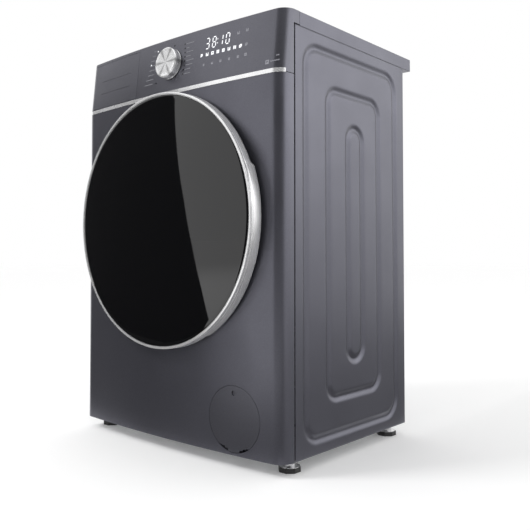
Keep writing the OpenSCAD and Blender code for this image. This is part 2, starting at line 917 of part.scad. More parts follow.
// The outline of a belt run around both pulleys, grown by the given amount
module belt_loop(grow) {
    d = norm([motor_x, motor_z - door_z]);
    big = pulley_r + grow;
    little = motor_pulley_r + grow;
    a = acos((big - little) / d);
    b = atan2(motor_z - door_z, motor_x);
    translate([0, door_z]) circle(r = big, $fn = fine);
    translate([motor_x, motor_z]) circle(r = little, $fn = round);
    translate([0, door_z]) rotate(b) polygon([[big * cos(a), big * sin(a)],
        [d + little * cos(a), little * sin(a)], [d + little * cos(a), -little * sin(a)],
        [big * cos(a), -big * sin(a)]]);
}

module drive_belt() {
    color(black) plate_y(pulley_y0 + 2, pulley_y1 - 2) difference() {
        belt_loop(2.6);
        belt_loop(0.3);
    }
}

// ---- drum ----

module drum() {
    color(zinc) {
        lathe(0, door_z) polygon([[164, drum_y0 - 3], [167, drum_y0 - 3], [168, drum_y0 - 1.5],
            [drum_r, drum_y0 - 1.5], [drum_r, drum_y1 + 1.5], [0, drum_y1 + 1.5], [0, drum_y1],
            [drum_r - 1.5, drum_y1], [drum_r - 1.5, drum_y0], [167, drum_y0], [167, drum_y0 + 2],
            [164, drum_y0 + 2]]);
    }
}

module drum_lifters() {
    color(white) for (a = [90, 210, 330]) {
        intersection() {
            rod_y(0, door_z, -118, 108, drum_r - 1.8);
            translate([0, 0, door_z]) rotate([0, a, 0]) rotate([90, 0, 0])
                translate([0, 0, -108]) linear_extrude(226)
                polygon([[drum_r, -32], [drum_r, 32], [drum_r - 44, 11], [drum_r - 50, 0],
                    [drum_r - 44, -11]]);
        }
    }
}

module drum_spider() {
    y0 = drum_y1 + 1.6;
    color(zinc) {
        rod_y(0, door_z, y0, 142, 34);
        for (a = [30, 150, 270]) {
            translate([0, 0, door_z]) rotate([0, a, 0]) {
                slab(20, 218, y0, 138, -16, 16);
            }
        }
        rod_y(0, door_z, 140, 175.5, shaft_r);
        rod_y(0, door_z, 175, 196, 10);
    }
}

module drum_pulley() {
    color(zinc) difference() {
        union() {
            ring_y(0, door_z, pulley_y0, pulley_y1, pulley_r, pulley_r - 10);
            for (y = [pulley_y0, pulley_y1 - 1.5]) {
                ring_y(0, door_z, y, y + 1.5, pulley_r + 4, pulley_r - 9);
            }
            rod_y(0, door_z, pulley_y0, pulley_y1 + 2, 22);
            for (a = [0 : 60 : 300]) {
                translate([0, 0, door_z]) rotate([0, a, 0])
                    slab(15, pulley_r - 5, pulley_y0 + 3, pulley_y1 - 3, -7, 7);
            }
        }
        rod_y(0, door_z, 0, 300, 10.02);
    }
}

// ---- suspension ----

module suspension_springs() {
    color(zinc) for (side = [-1, 1]) {
        for (y = [-spring_y, spring_y]) {
            ring_z(side * spring_x, y, 652, 772, 9.5, 6.5);
            rod_z(side * spring_x, y, lug_z + 6.2, 653, 2);
            rod_z(side * spring_x, y, 771, hanger_z + 2, 2);
            rod_z(side * spring_x, y, 650, 654, 9.5);
            rod_z(side * spring_x, y, 770, 774, 9.5);
        }
    }
}

// Turns local +Z along the damper, with the lower pin at the local origin.
module along_damper() {
    translate([damper_foot[0], damper_y, damper_foot[1]]) rotate([0, damper_tilt, 0]) children();
}

module damper_eye(r_bore) {
    rotate([90, 0, 0]) difference() {
        cylinder(r = 11, h = 18, center = true, $fn = round);
        cylinder(r = r_bore, h = 20, center = true, $fn = round);
    }
}

module damper_cylinder() {
    color(grey) along_damper() {
        damper_eye(damper_pin_r + fit_gap);
        difference() {
            union() {
                translate([0, 0, 9]) cylinder(r = 8, h = 14, $fn = round);
                translate([0, 0, 22]) cylinder(r = 15, h = 96, $fn = round);
            }
            translate([0, 0, 30]) cylinder(r = 6 + fit_gap, h = 100, $fn = round);
        }
    }
}

module damper_rod() {
    color(zinc) along_damper() {
        translate([0, 0, 70]) cylinder(r = 6, h = damper_l - 70 - 9, $fn = round);
        translate([0, 0, damper_l]) damper_eye(damper_pin_r + 0.4);
    }
}

module damper_cylinder_right() {
    damper_cylinder();
}

module damper_cylinder_left() {
    mirror([1, 0, 0]) damper_cylinder();
}

module damper_rod_right() {
    damper_rod();
}

module damper_rod_left() {
    mirror([1, 0, 0]) damper_rod();
}

// ---- drain ----

// The flap's hinge lies along the bowed front where the flap is: local +X runs along it.
module on_flap_axis() {
    translate([filter_x, flap_axis_y, flap_axis_z]) rotate([0, 0, flap_slope]) children();
}

module filter_flap() {
    color(steel) difference() {
        union() {
            intersection() {
                difference() {
                    bow_body(0, 20, 200);
                    translate([0, 0, 10]) linear_extrude(200) bow_outline(3, far);
                }
                rod_y(filter_x, filter_z, -far, 0, flap_r);
            }
            on_flap_axis() rod_x(-14, 14, 0, 0, 2.4);
        }
        on_flap_axis() for (side = [-1, 1]) {
            slab(side * 17 - 3, side * 17 + 3, -1.8, far, -17, 5);
        }
        // The rim beside the hinge is cut back, so that the flap can swing past the panel
        on_flap_axis() for (cut = flap_cuts) {
            slab(cut[0], 40, -far, far, -17, cut[1]);
            slab(-40, -cut[0], -far, far, -17, cut[1]);
        }
        // Finger notch
        rod_y(filter_x, filter_z + 48, -far, -208, 5);
    }
    color(chrome) on_flap_axis() rod_x(-19.5, 19.5, 0, 0, 0.9);
}

module drain_pump() {
    recess_r = flap_r + 4;
    color(black) difference() {
        union() {
            rod_y(filter_x, filter_z, side_front, -48, 40);
            rod_y(filter_x, filter_z, -49, 0, 30);
            difference() {
                rod_y(filter_x, filter_z, side_front - 9, side_front + 3, recess_r);
                rod_y(filter_x, filter_z, side_front - 10, side_front, recess_r - 1.5);
            }
            on_flap_axis() for (side = [-1, 1]) {
                slab(side * 17 - 2, side * 17 + 2, 0, side_front + 1 - flap_axis_y, -1.5, 1.5);
                rod_x(side * 17 - 2, side * 17 + 2, 0, 0, 1.5);
            }
            rod_x(filter_x - 64, filter_x - 36, pump_inlet_y, filter_z, 17);
            rod_x(filter_x + 30, filter_x + 57, pump_outlet_y, filter_z, 11);
            slab(filter_x - 18, filter_x + 18, -170, -158, filter_z - 44 + 0.1, filter_z - 30);
            slab(filter_x - 18, filter_x + 18, -40, -28, filter_z - 44 + 0.1, filter_z - 20);
        }
        rod_y(filter_x, filter_z, -far, -80, 36);
        rod_y(filter_x, filter_z, -81, -58, 24);
        rod_y(filter_x, filter_z, -60, -20, 3 + fit_gap);
        rod_x(filter_x - 70, filter_x - 20, pump_inlet_y, filter_z, 14);
        rod_x(filter_x + 15, filter_x + 60, pump_outlet_y, filter_z, 8.5);
        on_flap_axis() rod_x(-25, 25, 0, 0, 0.9 + fit_gap);
    }
}

module pump_impeller() {
    color(white) {
        rod_y(filter_x, filter_z, -66, -62, 20);
        rod_y(filter_x, filter_z, -76, -65, 6);
        for (a = [0 : 60 : 300]) {
            translate([filter_x, 0, filter_z]) rotate([0, a, 0]) slab(4, 20, -76, -65, -1.2, 1.2);
        }
    }
    color(zinc) rod_y(filter_x, filter_z, -78, -30, 3);
}

module filter_plug() {
    color(grey) {
        rod_y(filter_x, filter_z, side_front - 2, side_front + 14, 36 - fit_gap);
        slab(filter_x - 28, filter_x + 28, side_front - 12, side_front - 1.9,
            filter_z - 5, filter_z + 5);
        difference() {
            ring_y(filter_x, filter_z, side_front + 13, -90, 30, 27);
            for (i = [0 : 4]) {
                slab(filter_x - far, filter_x + far, side_front + 22 + i * 15,
                    side_front + 30 + i * 15, filter_z - 12, filter_z + 12);
            }
        }
    }
}

module sump_hose() {
    r_bend = 27;
    x_end = filter_x - 41;
    color(rubber) {
        ring_z(sump_x, pump_inlet_y, filter_z + r_bend, 198, 20, 17.1);
        translate([sump_x + r_bend, pump_inlet_y, filter_z + r_bend]) rotate([-90, 0, 0])
            rotate([0, 0, 90]) bend(r_bend, 20, 17.1);
        difference() {
            rod_x(sump_x + r_bend, x_end, pump_inlet_y, filter_z, 20);
            rod_x(sump_x + r_bend - 1, x_end + 1, pump_inlet_y, filter_z, 17.1);
        }
    }
}

module drain_pipe() {
    r_bend = 18;
    x0 = drain_x - r_bend;
    y_run = 198;
    color(grey) {
        difference() {
            rod_x(filter_x + 42, x0, pump_outlet_y, filter_z, 13);
            rod_x(filter_x + 41, x0 + 1, pump_outlet_y, filter_z, 11.1);
        }
        translate([x0, pump_outlet_y + r_bend, filter_z]) rotate([0, 0, -90]) bend(r_bend, 13, 11.1);
        ring_y(drain_x, filter_z, pump_outlet_y + r_bend, y_run - r_bend, 13, 11.1);
        translate([drain_x, y_run - r_bend, filter_z + r_bend]) rotate([90, 0, 90])
            rotate([0, 0, -90]) bend(r_bend, 13, 11.1);
        ring_z(drain_x, y_run, filter_z + r_bend, drain_z - r_bend, 13, 11.1);
        translate([drain_x, y_run + r_bend, drain_z - r_bend]) rotate([90, 0, 90])
            rotate([0, 0, 90]) bend(r_bend, 13, 11.1);
        ring_y(drain_x, drain_z, y_run + r_bend, side_rear + 1, 13, 9);
        ring_y(drain_x, drain_z, side_rear, total_d / 2 - 12, 11, 9);
    }
}

left_side_panel();
right_side_panel();
rear_panel();
rear_cover();
base_tray();
front_panel();
control_fascia();
chrome_strip();
worktop();
top_frame();
drawer_housing();
inlet_valve();
inlet_hoses();
fill_hose();
control_board();
display_board();
door_lock();
hinge_bracket();
hinge_pin();
drain_pump();
sump_hose();
drain_pipe();
cord_gland();
transit_caps();
panel_screws();
door_gasket();
door_ring();
door_glass();
door_frame();
door_bowl();
hinge_arm();
latch_hook();
drawer_front();
drawer_tray();
siphon_cap();
programme_knob();
tub_front();
tub_rear();
counterweights();
drive_motor();
heater();
shaft_bearings();
drive_belt();
drum();
drum_lifters();
drum_spider();
drum_pulley();
motor_pulley();
suspension_springs();
damper_cylinder_left();
damper_cylinder_right();
damper_rod_left();
damper_rod_right();
filter_flap();
filter_plug();
pump_impeller();
foot_front_left();
foot_front_right();
foot_rear_left();
foot_rear_right();
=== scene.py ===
# %% [markdown]
# # A front load washing machine
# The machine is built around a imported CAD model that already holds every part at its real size.
# This script keeps that model as a fixed frame and gives it its looks: pressed steel sides, a
# bowed painted front, a chrome door ring, a black domed glass, a rubber gasket and coiled springs.
# Lengths are written in millimetres, as a maker's drawing has them, and scaled once to metres.

# %% Load the frame
import json
import math

import bmesh
import bpy
import numpy as np
from mathutils import Matrix, Vector

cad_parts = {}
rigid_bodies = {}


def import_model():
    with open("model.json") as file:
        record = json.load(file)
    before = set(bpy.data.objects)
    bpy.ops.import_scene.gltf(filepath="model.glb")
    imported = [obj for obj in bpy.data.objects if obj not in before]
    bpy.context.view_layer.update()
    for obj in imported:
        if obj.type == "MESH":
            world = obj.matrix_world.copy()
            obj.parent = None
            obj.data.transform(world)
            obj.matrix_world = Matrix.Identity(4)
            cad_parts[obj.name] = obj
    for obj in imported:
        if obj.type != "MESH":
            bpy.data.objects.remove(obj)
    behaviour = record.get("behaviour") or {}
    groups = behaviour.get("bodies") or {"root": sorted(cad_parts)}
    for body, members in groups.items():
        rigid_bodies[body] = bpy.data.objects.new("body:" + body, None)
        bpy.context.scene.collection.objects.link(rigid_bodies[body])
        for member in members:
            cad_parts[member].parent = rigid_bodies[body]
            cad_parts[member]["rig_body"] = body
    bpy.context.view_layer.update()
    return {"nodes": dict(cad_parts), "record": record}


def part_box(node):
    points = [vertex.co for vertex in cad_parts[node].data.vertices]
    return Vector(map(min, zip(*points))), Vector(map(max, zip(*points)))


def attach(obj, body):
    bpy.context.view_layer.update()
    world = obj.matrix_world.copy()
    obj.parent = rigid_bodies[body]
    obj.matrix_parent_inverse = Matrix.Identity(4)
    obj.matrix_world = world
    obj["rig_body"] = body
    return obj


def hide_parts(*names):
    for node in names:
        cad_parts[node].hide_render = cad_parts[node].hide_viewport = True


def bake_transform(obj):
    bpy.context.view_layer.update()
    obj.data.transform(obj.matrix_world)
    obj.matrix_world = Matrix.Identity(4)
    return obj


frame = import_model()
nodes = frame["nodes"]
MM = 0.001


def span(node):
    """The lowest and highest corner of a CAD node, in millimetres."""
    low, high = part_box(node)
    return np.array(low) / MM, np.array(high) / MM


# %% [markdown]
# ## Camera
# The camera stands to the right of the machine, a little below half its height, and looks almost
# level. A small vertical shift keeps the upright edges upright while the machine sits in the frame.

# %% Camera
CAMERA_AT = Vector((1.0633, -1.1242, 0.3934))
CAMERA_YAW = math.radians(41.135)
CAMERA_PITCH = math.radians(1.84)
CAMERA_LENS = 45.74
CAMERA_SHIFT_Y = -0.0548

camera_data = bpy.data.cameras.new("camera")
camera_data.lens = CAMERA_LENS
camera_data.shift_y = CAMERA_SHIFT_Y
camera = bpy.data.objects.new("camera", camera_data)
level = math.cos(CAMERA_PITCH)
look = Vector((-math.sin(CAMERA_YAW) * level, math.cos(CAMERA_YAW) * level, math.sin(CAMERA_PITCH)))
camera.location = CAMERA_AT
camera.rotation_euler = look.to_track_quat("-Z", "Y").to_euler()
bpy.context.collection.objects.link(camera)
bpy.context.scene.camera = camera
bpy.context.scene.view_settings.view_transform = "Standard"


# %% [markdown]
# ## Surfaces from arrays
# Most new pieces are a grid of points worked out at once with numpy: a row of points along one
# way, a column along the other, and a quad between neighbours. A turned part, a bent hose and a
# pressed panel then differ only in the formula that fills the grid.

# %% Grid helper
def object_of(name, mesh, material):
    """An object at the origin that carries the mesh and one material."""
    mesh.materials.clear()
    mesh.materials.append(material)
    piece = bpy.data.objects.new(name, mesh)
    bpy.context.collection.objects.link(piece)
    return piece


def stands_for(piece, node, body=None):
    """Hides the CAD node that the piece replaces and sets it on its body."""
    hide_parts(node)
    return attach(piece, body) if body else piece


def smoothed(mesh, angle=35.0):
    """Smooth shading everywhere but along edges steeper than the angle."""
    mesh.shade_smooth()
    mesh.set_sharp_from_angle(angle=math.radians(angle))
    return mesh


def clean(mesh, angle=35.0):
    """Joins points that coincide, points the faces outwards and keeps only steep edges sharp."""
    shape = bmesh.new()
    shape.from_mesh(mesh)
    bmesh.ops.remove_doubles(shape, verts=shape.verts, dist=0.00002)
    bmesh.ops.dissolve_degenerate(shape, edges=shape.edges, dist=0.00001)
    bmesh.ops.recalc_face_normals(shape, faces=shape.faces)
    shape.to_mesh(mesh)
    shape.free()
    return smoothed(mesh, angle)


def grid_mesh(name, points, wrap_u=False, wrap_v=False, angle=35.0):
    """A mesh from an (n, m, 3) grid in millimetres: a quad between each four neighbours, and where a
    way is wrapped its last line is joined to its first."""
    n, m = points.shape[:2]
    index = np.arange(n * m).reshape(n, m)
    if wrap_u:
        index = np.concatenate([index, index[:1]], axis=0)
    if wrap_v:
        index = np.concatenate([index, index[:, :1]], axis=1)
    quads = np.stack([index[:-1, :-1], index[1:, :-1], index[1:, 1:], index[:-1, 1:]], axis=-1)
    mesh = bpy.data.meshes.new(name)
    mesh.from_pydata((points.reshape(-1, 3) * MM).tolist(), [], quads.reshape(-1, 4).tolist())
    return clean(mesh, angle)


def joined(name, meshes):
    """One mesh out of several."""
    shape = bmesh.new()
    for mesh in meshes:
        shape.from_mesh(mesh)
    whole = bpy.data.meshes.new(name)
    shape.to_mesh(whole)
    shape.free()
    for mesh in meshes:
        bpy.data.meshes.remove(mesh)
    return smoothed(whole)


def walled(piece, thickness, offset=0.0):
    """Gives a surface the thickness of its sheet."""
    wall = piece.modifiers.new("sheet", "SOLIDIFY")
    wall.thickness, wall.offset = thickness * MM, offset
    return wall


# %% [markdown]
# ## Turned parts
# The door, the drum and the knob are round about an axis that runs front to back. Their outline is a
# short list of corners, each with the radius that the tool leaves there. Rounding a corner replaces
# it with a small arc, so that its edge catches the light as a real edge does.

# %% Turning helper
def rounded(corners, steps=5, closed=True):
    """An outline with its corners rounded. A corner is (a, b, radius): the arc of that radius that
    touches both its sides is drawn through steps points."""
    corners = np.asarray(corners, float)
    count = len(corners)
    line = []
    for i, (a, b, radius) in enumerate(corners):
        here = np.array([a, b])
        if radius <= 0 or (not closed and i in (0, count - 1)):
            line.append(here[None])
            continue
        back = corners[i - 1, :2] - here
        ahead = corners[(i + 1) % count, :2] - here
        back_long, ahead_long = np.linalg.norm(back), np.linalg.norm(ahead)
        back, ahead = back / back_long, ahead / ahead_long
        half = 0.5 * math.acos(np.clip(back @ ahead, -1, 1))
        cut = min(radius / math.tan(half), 0.49 * back_long, 0.49 * ahead_long)
        t = np.linspace(0, 1, steps)[:, None]
        start, end = here + back * cut, here + ahead * cut
        line.append((1 - t) ** 2 * start + 2 * t * (1 - t) * here + t ** 2 * end)
    return np.concatenate(line)


def turned(name, outline, centre=(0.0, 469.0), turns=160, closed=True, angle=35.0):
    """A surface of revolution about an axis along Y through (x, z) = centre. The outline is
    (radius, y): x = cx + r cos t, z = cz + r sin t."""
    t = np.linspace(0, 2 * math.pi, turns, endpoint=False)[:, None]
    r, y = outline[None, :, 0], outline[None, :, 1]
    points = np.stack([centre[0] + r * np.cos(t), y + 0 * t, centre[1] + r * np.sin(t)], axis=-1)
    return grid_mesh(name, points, wrap_u=True, wrap_v=closed, angle=angle)


def rings_along(path, along, radius, sides, fixed):
    """A circle square to the path at each of its points. Its two directions are the cross products
    of the path's direction with a fixed line that the path never runs along."""
    along = along / np.linalg.norm(along, axis=1, keepdims=True)
    across = np.cross(along, np.array(fixed))
    across /= np.linalg.norm(across, axis=1, keepdims=True)
    other = np.cross(along, across)
    t = np.linspace(0, 2 * math.pi, sides, endpoint=False)[None, :, None]
    circle = np.cos(t) * across[:, None] + np.sin(t) * other[:, None]
    return path[:, None] + radius[:, None, None] * circle


def wire(name, path, radius, sides):
    """A round wire along a path of (n, 3) points, closed by a point at each end."""
    points = rings_along(path, np.gradient(path, axis=0), np.full(len(path), radius), sides,
                         (0.36, 0.48, 0.8))
    first, last = (np.broadcast_to(path[end][None, None], (1, sides, 3)) for end in (0, -1))
    return grid_mesh(name, np.concatenate([first, points, last]), wrap_v=True, angle=50.0)


def path_of(corners, bend, step):
    """A path with round bends: straight between corners, and a quarter arc of radius bend at each."""
    corners = np.asarray(corners, float)
    line = [corners[:1]]
    for i in range(1, len(corners) - 1):
        back = corners[i - 1] - corners[i]
        ahead = corners[i + 1] - corners[i]
        back, ahead = back / np.linalg.norm(back), ahead / np.linalg.norm(ahead)
        t = np.linspace(0, math.pi / 2, 9)[:, None]
        middle = corners[i] + bend * (back + ahead)
        line.append(middle - bend * (np.cos(t) * ahead + np.sin(t) * back))
    line.append(corners[-1:])
    line = np.concatenate(line)
    length = np.concatenate([[0], np.cumsum(np.linalg.norm(np.diff(line, axis=0), axis=1))])
    even = np.linspace(0, length[-1], max(2, int(length[-1] / step)))
    return np.stack([np.interp(even, length, line[:, k]) for k in range(3)], axis=1), even


# %% [markdown]
# ## Finished copies of machined and folded parts
# Many CAD nodes already have the right shape, but their edges are perfectly sharp and no real edge
# is. A copy of such a node is joined up, and a bevel modifier then rolls its edges over.

# %% Finishing helper
def finished(node, edge, angle=35.0):
    """A copy of a CAD node with its loose triangles joined, its flat faces made whole and its edges
    rounded by the given number of millimetres. It stands for the node."""
    mesh = nodes[node].data.copy()
    mesh.name = node + "_finished"
    shape = bmesh.new()
    shape.from_mesh(mesh)
    bmesh.ops.remove_doubles(shape, verts=shape.verts, dist=0.00001)
    bmesh.ops.dissolve_limit(shape, angle_limit=math.radians(0.2), verts=shape.verts, edges=shape.edges)
    shape.to_mesh(mesh)
    shape.free()
    if "custom_normal" in mesh.attributes:
        mesh.attributes.remove(mesh.attributes["custom_normal"])
    piece = bpy.data.objects.new(mesh.name, smoothed(mesh, angle))
    bpy.context.collection.objects.link(piece)
    bevel = piece.modifiers.new("rolled edge", "BEVEL")
    bevel.width = edge * MM
    bevel.segments = 2
    bevel.limit_method = "ANGLE"
    bevel.angle_limit = math.radians(angle)
    bevel.harden_normals = True
    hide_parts(node)
    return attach(piece, nodes[node]["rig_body"])


# %% [markdown]
# ## Floor and light
# Dark lacquer and black glass show mostly what they reflect, so the studio around them matters more
# than the lamps. The room is evenly pale. Dark cards that only reflections can see stand beside the
# machine: one draws the long curved edge across the glass, one the dark band at the front corner.

# %% Floor and light
def surface(name, colour, roughness, metallic=0.0, **sockets):
    """A material with a Principled shader, ready to be built on: its tree and shader come with it."""
    material = bpy.data.materials.new(name)
    material.use_nodes = True
    tree = material.node_tree
    shader = tree.nodes["Principled BSDF"]
    shader.inputs["Base Color"].default_value = (*colour, 1)
    shader.inputs["Roughness"].default_value = roughness
    shader.inputs["Metallic"].default_value = metallic
    for socket, value in sockets.items():
        shader.inputs[socket.replace("_", " ")].default_value = value
    return material, tree, shader


def card(name, corners, material):
    """A flat card through a ring of corners in metres. It belongs to the studio, not the machine."""
    mesh = bpy.data.meshes.new(name)
    mesh.from_pydata([tuple(corner) for corner in corners], [], [tuple(range(len(corners)))])
    piece = object_of(name, mesh, material)
    return piece


def lying(x0, x1, y0, y1, z=0.001):
    """The corners of a card on the floor."""
    return [(x0, y0, z), (x1, y0, z), (x1, y1, z), (x0, y1, z)]


def standing(x0, y0, x1, y1, z0, z1):
    """The corners of an upright card over the line from (x0, y0) to (x1, y1)."""
    return [(x0, y0, z0), (x1, y1, z0), (x1, y1, z1), (x0, y0, z1)]


def reflected_card(name, corners, grey):
    """A card that only a mirror reflection sees: it lights nothing and casts no shadow."""
    material, tree, shader = surface(name + "_cloth", (0, 0, 0), 1.0)
    shader.inputs["Emission Color"].default_value = (grey, grey, grey, 1)
    shader.inputs["Emission Strength"].default_value = 1.0
    piece = card(name, corners, material)
    piece.visible_camera = piece.visible_diffuse = piece.visible_shadow = False
    return piece


def room_light(seen, mirrored, lighting):
    """The pale room: one brightness behind the machine, one in reflections and one as lighting."""
    world = bpy.data.worlds.new("pale room")
    world.use_nodes = True
    tree = world.node_tree
    background = tree.nodes["Background"]
    background.inputs["Color"].default_value = (1, 1, 1, 1)
    kind = tree.nodes.new("ShaderNodeLightPath")
    strength = lighting
    for name, value in (("Is Glossy Ray", mirrored), ("Is Camera Ray", seen)):
        mix = tree.nodes.new("ShaderNodeMix")
        tree.links.new(kind.outputs[name], mix.inputs["Factor"])
        mix.inputs["B"].default_value = value
        if isinstance(strength, float):
            mix.inputs["A"].default_value = strength
        else:
            tree.links.new(strength, mix.inputs["A"])
        strength = mix.outputs["Result"]
    tree.links.new(strength, background.inputs["Strength"])
    bpy.context.scene.world = world


room_light(seen=1.0, mirrored=0.97, lighting=0.95)
card("floor", lying(-30, 30, -30, 30, 0),
     surface("pale_floor", (0.97, 0.97, 0.97), 0.9, Emission_Color=(1, 1, 1, 1),
             Emission_Strength=0.07)[0])

# The right edge of this card is the curve that the domed glass shows
left_edge = ((-0.17, 0.001), (-0.192, 0.115), (-0.211, 0.244), (-0.246, 0.399), (-0.296, 0.570),
             (-0.381, 0.793), (-0.474, 1.018), (-0.545, 1.19))
reflected_card("left_card", [(x, -0.7, z) for x, z in ((-2.6, 0.001), *left_edge, (-2.6, 1.25))], 0.0)
reflected_card("front_floor_card", lying(-2.6, 1.4, -0.74, -0.26), 0.03)
# The rounded corner of the front mirrors this one, which bends round the camera's side
for number, line in enumerate(((-0.22, -1.5, 1.5, -1.5), (1.5, -1.5, 1.5, -0.65))):
    reflected_card(f"corner_card_{number}", standing(*line, 0.001, 2.2), 0.02)
reflected_card("side_floor_card", lying(0.34, 3.0, -0.26, 3.0), 0.12)
reflected_card("side_bright_card", standing(2.4, -0.6, 2.4, 4.0, 0.95, 3.2), 1.9)

# A soft square lamp to the left of the camera, which the gloss doesn't show
lamp = bpy.data.lights.new("key", "AREA")
lamp.size, lamp.energy = 1.0, 45
key = bpy.data.objects.new("key", lamp)
key.location = (-1.5, -2.2, 2.6)
key.rotation_euler = (Vector((0, -0.2, 0.5)) - key.location).to_track_quat("-Z", "Y").to_euler()
key.visible_glossy = False
bpy.context.collection.objects.link(key)
print("camera at", tuple(camera.location))


# %% [markdown]
# ## Materials
# Every finish is a Principled shader with a little life in it: paint has a fine orange peel and
# metal flakes, pressed zinc has its crystals, rubber is dull and dusty, spun metal has circular lines.
# The patterns read Object coordinates, so they stay where they are when a part moves.

# %% Material helpers
def placed(tree, centre=(0, 0, 0), turn=(0, 0, 0), scale=(1, 1, 1)):
    """Object coordinates in metres, measured from a centre, turned and stretched."""
    coordinates = tree.nodes.new("ShaderNodeTexCoord")
    mapping = tree.nodes.new("ShaderNodeMapping")
    mapping.vector_type = "TEXTURE"
    mapping.inputs["Location"].default_value = centre
    mapping.inputs["Rotation"].default_value = turn
    mapping.inputs["Scale"].default_value = scale
    tree.links.new(coordinates.outputs["Object"], mapping.inputs["Vector"])
    return mapping.outputs["Vector"]


def noise(tree, scale, detail=3.0, vector=None, roughness=0.55):
    """A noise of the given number of grains per metre."""
    grain = tree.nodes.new("ShaderNodeTexNoise")
    grain.inputs["Scale"].default_value = scale
    grain.inputs["Detail"].default_value = detail
    grain.inputs["Roughness"].default_value = roughness
    tree.links.new(vector or placed(tree), grain.inputs["Vector"])
    return grain.outputs["Fac"]


def between(tree, value, low, high, start=0.3, end=0.7):
    """Maps a value that runs from start to end onto low to high."""
    node = tree.nodes.new("ShaderNodeMapRange")
    tree.links.new(value, node.inputs["Value"])
    for socket, number in (("From Min", start), ("From Max", end), ("To Min", low), ("To Max", high)):
        node.inputs[socket].default_value = number
    return node.outputs["Result"]


def roughened(tree, shader, value, low, high, start=0.3, end=0.7):
    """The roughness runs from low to high as the value runs from start to end."""
    tree.links.new(between(tree, value, low, high, start, end), shader.inputs["Roughness"])


def tinted(tree, shader, value, dark, light, start=0.3, end=0.7):
    """The base colour runs from dark to light as the value runs from start to end."""
    mix = tree.nodes.new("ShaderNodeMix")
    mix.data_type = "RGBA"
    tree.links.new(between(tree, value, 0, 1, start, end), mix.inputs["Factor"])
    mix.inputs["A"].default_value = (*dark, 1)
    mix.inputs["B"].default_value = (*light, 1)
    tree.links.new(mix.outputs["Result"], shader.inputs["Base Color"])


def bumped(tree, shader, value, strength, depth):
    """Raises the surface by the value, by depth millimetres at full strength."""
    bump = tree.nodes.new("ShaderNodeBump")
    bump.inputs["Strength"].default_value = strength
    bump.inputs["Distance"].default_value = depth * MM
    tree.links.new(value, bump.inputs["Height"])
    tree.links.new(bump.outputs["Normal"], shader.inputs["Normal"])


def math_node(tree, kind, a, b=None):
    """One step of arithmetic on a socket."""
    node = tree.nodes.new("ShaderNodeMath")
    node.operation = kind
    for place, value in enumerate((a, b)):
        if isinstance(value, (int, float)):
            node.inputs[place].default_value = value
        elif value is not None:
            tree.links.new(value, node.inputs[place])
    return node.outputs["Value"]


def turning_lines(tree, vector, axes, lines):
    """Circular lines: a noise read along the radius alone, the root of the sum of two squares."""
    parts = tree.nodes.new("ShaderNodeSeparateXYZ")
    tree.links.new(vector, parts.inputs["Vector"])
    square = [math_node(tree, "POWER", parts.outputs[axis], 2.0) for axis in axes]
    radius = tree.nodes.new("ShaderNodeCombineXYZ")
    tree.links.new(math_node(tree, "SQRT", math_node(tree, "ADD", *square)), radius.inputs["X"])
    return noise(tree, lines, 2.0, radius.outputs["Vector"])


def scaled_colour(colour, factor):
    return tuple(min(1.0, c * factor) for c in colour)


# %% [markdown]
# ### Painted steel
# The cabinet's paint is a dark slate with a hint of violet. Metal flakes under the clear coat make
# it glitter faintly, so the colour is broken up by a fine noise and the coat has a slight orange peel.

# %% Paint
def flake_paint(name, colour, roughness, metallic, peel):
    """Paint whose colour is broken up by flakes, under a coat with an orange peel."""
    material, tree, shader = surface(name, colour, roughness, metallic, Coat_Weight=0.25,
                                     Coat_Roughness=0.28)
    flakes = noise(tree, 1500.0, 2.0)
    tinted(tree, shader, flakes, scaled_colour(colour, 0.78), scaled_colour(colour, 1.25))
    roughened(tree, shader, noise(tree, 9.0, 4.0), roughness - 0.05, roughness + 0.06)
    bumped(tree, shader, noise(tree, 620.0, 2.0), peel, 0.12)
    return material


finishes = {}
finishes["cabinet_paint"] = flake_paint("slate_cabinet_paint", (0.150, 0.150, 0.180), 0.40, 0.82, 0.25)
finishes["fascia_paint"] = flake_paint("slate_fascia_paint", (0.140, 0.140, 0.165), 0.36, 0.80, 0.16)

# %% [markdown]
# ### Metals
# Chrome and spun aluminium carry fine lines that run round the axis they were turned on. Zinc sheet
# shows the spangle of its crystals, which a Voronoi pattern gives. Ground pins are plain bright steel.

# %% Metals
DOOR_CENTRE = Vector((0, 0, 0.469))


def turned_metal(name, colour, roughness, lines, depth, metallic=1.0):
    """Bright metal with fine lines round the door's and drum's axis."""
    material, tree, shader = surface(name, colour, roughness, metallic)
    ridges = turning_lines(tree, placed(tree, DOOR_CENTRE), "XZ", lines)
    roughened(tree, shader, ridges, roughness - 0.06, roughness + 0.08)
    tinted(tree, shader, noise(tree, 40.0), scaled_colour(colour, 0.92), scaled_colour(colour, 1.06))
    bumped(tree, shader, ridges, 0.35, depth)
    return material


def sheet_zinc(name, colour):
    """Galvanised sheet: crystals a centimetre across, each a little brighter or duller."""
    material, tree, shader = surface(name, colour, 0.42, 0.85)
    crystals = tree.nodes.new("ShaderNodeTexVoronoi")
    crystals.inputs["Scale"].default_value = 110.0
    tree.links.new(placed(tree), crystals.inputs["Vector"])
    grey = tree.nodes.new("ShaderNodeRGBToBW")
    tree.links.new(crystals.outputs["Color"], grey.inputs["Color"])
    tinted(tree, shader, grey.outputs["Val"], scaled_colour(colour, 0.82), scaled_colour(colour, 1.15))
    roughened(tree, shader, grey.outputs["Val"], 0.34, 0.5)
    bumped(tree, shader, noise(tree, 300.0), 0.15, 0.05)
    return material


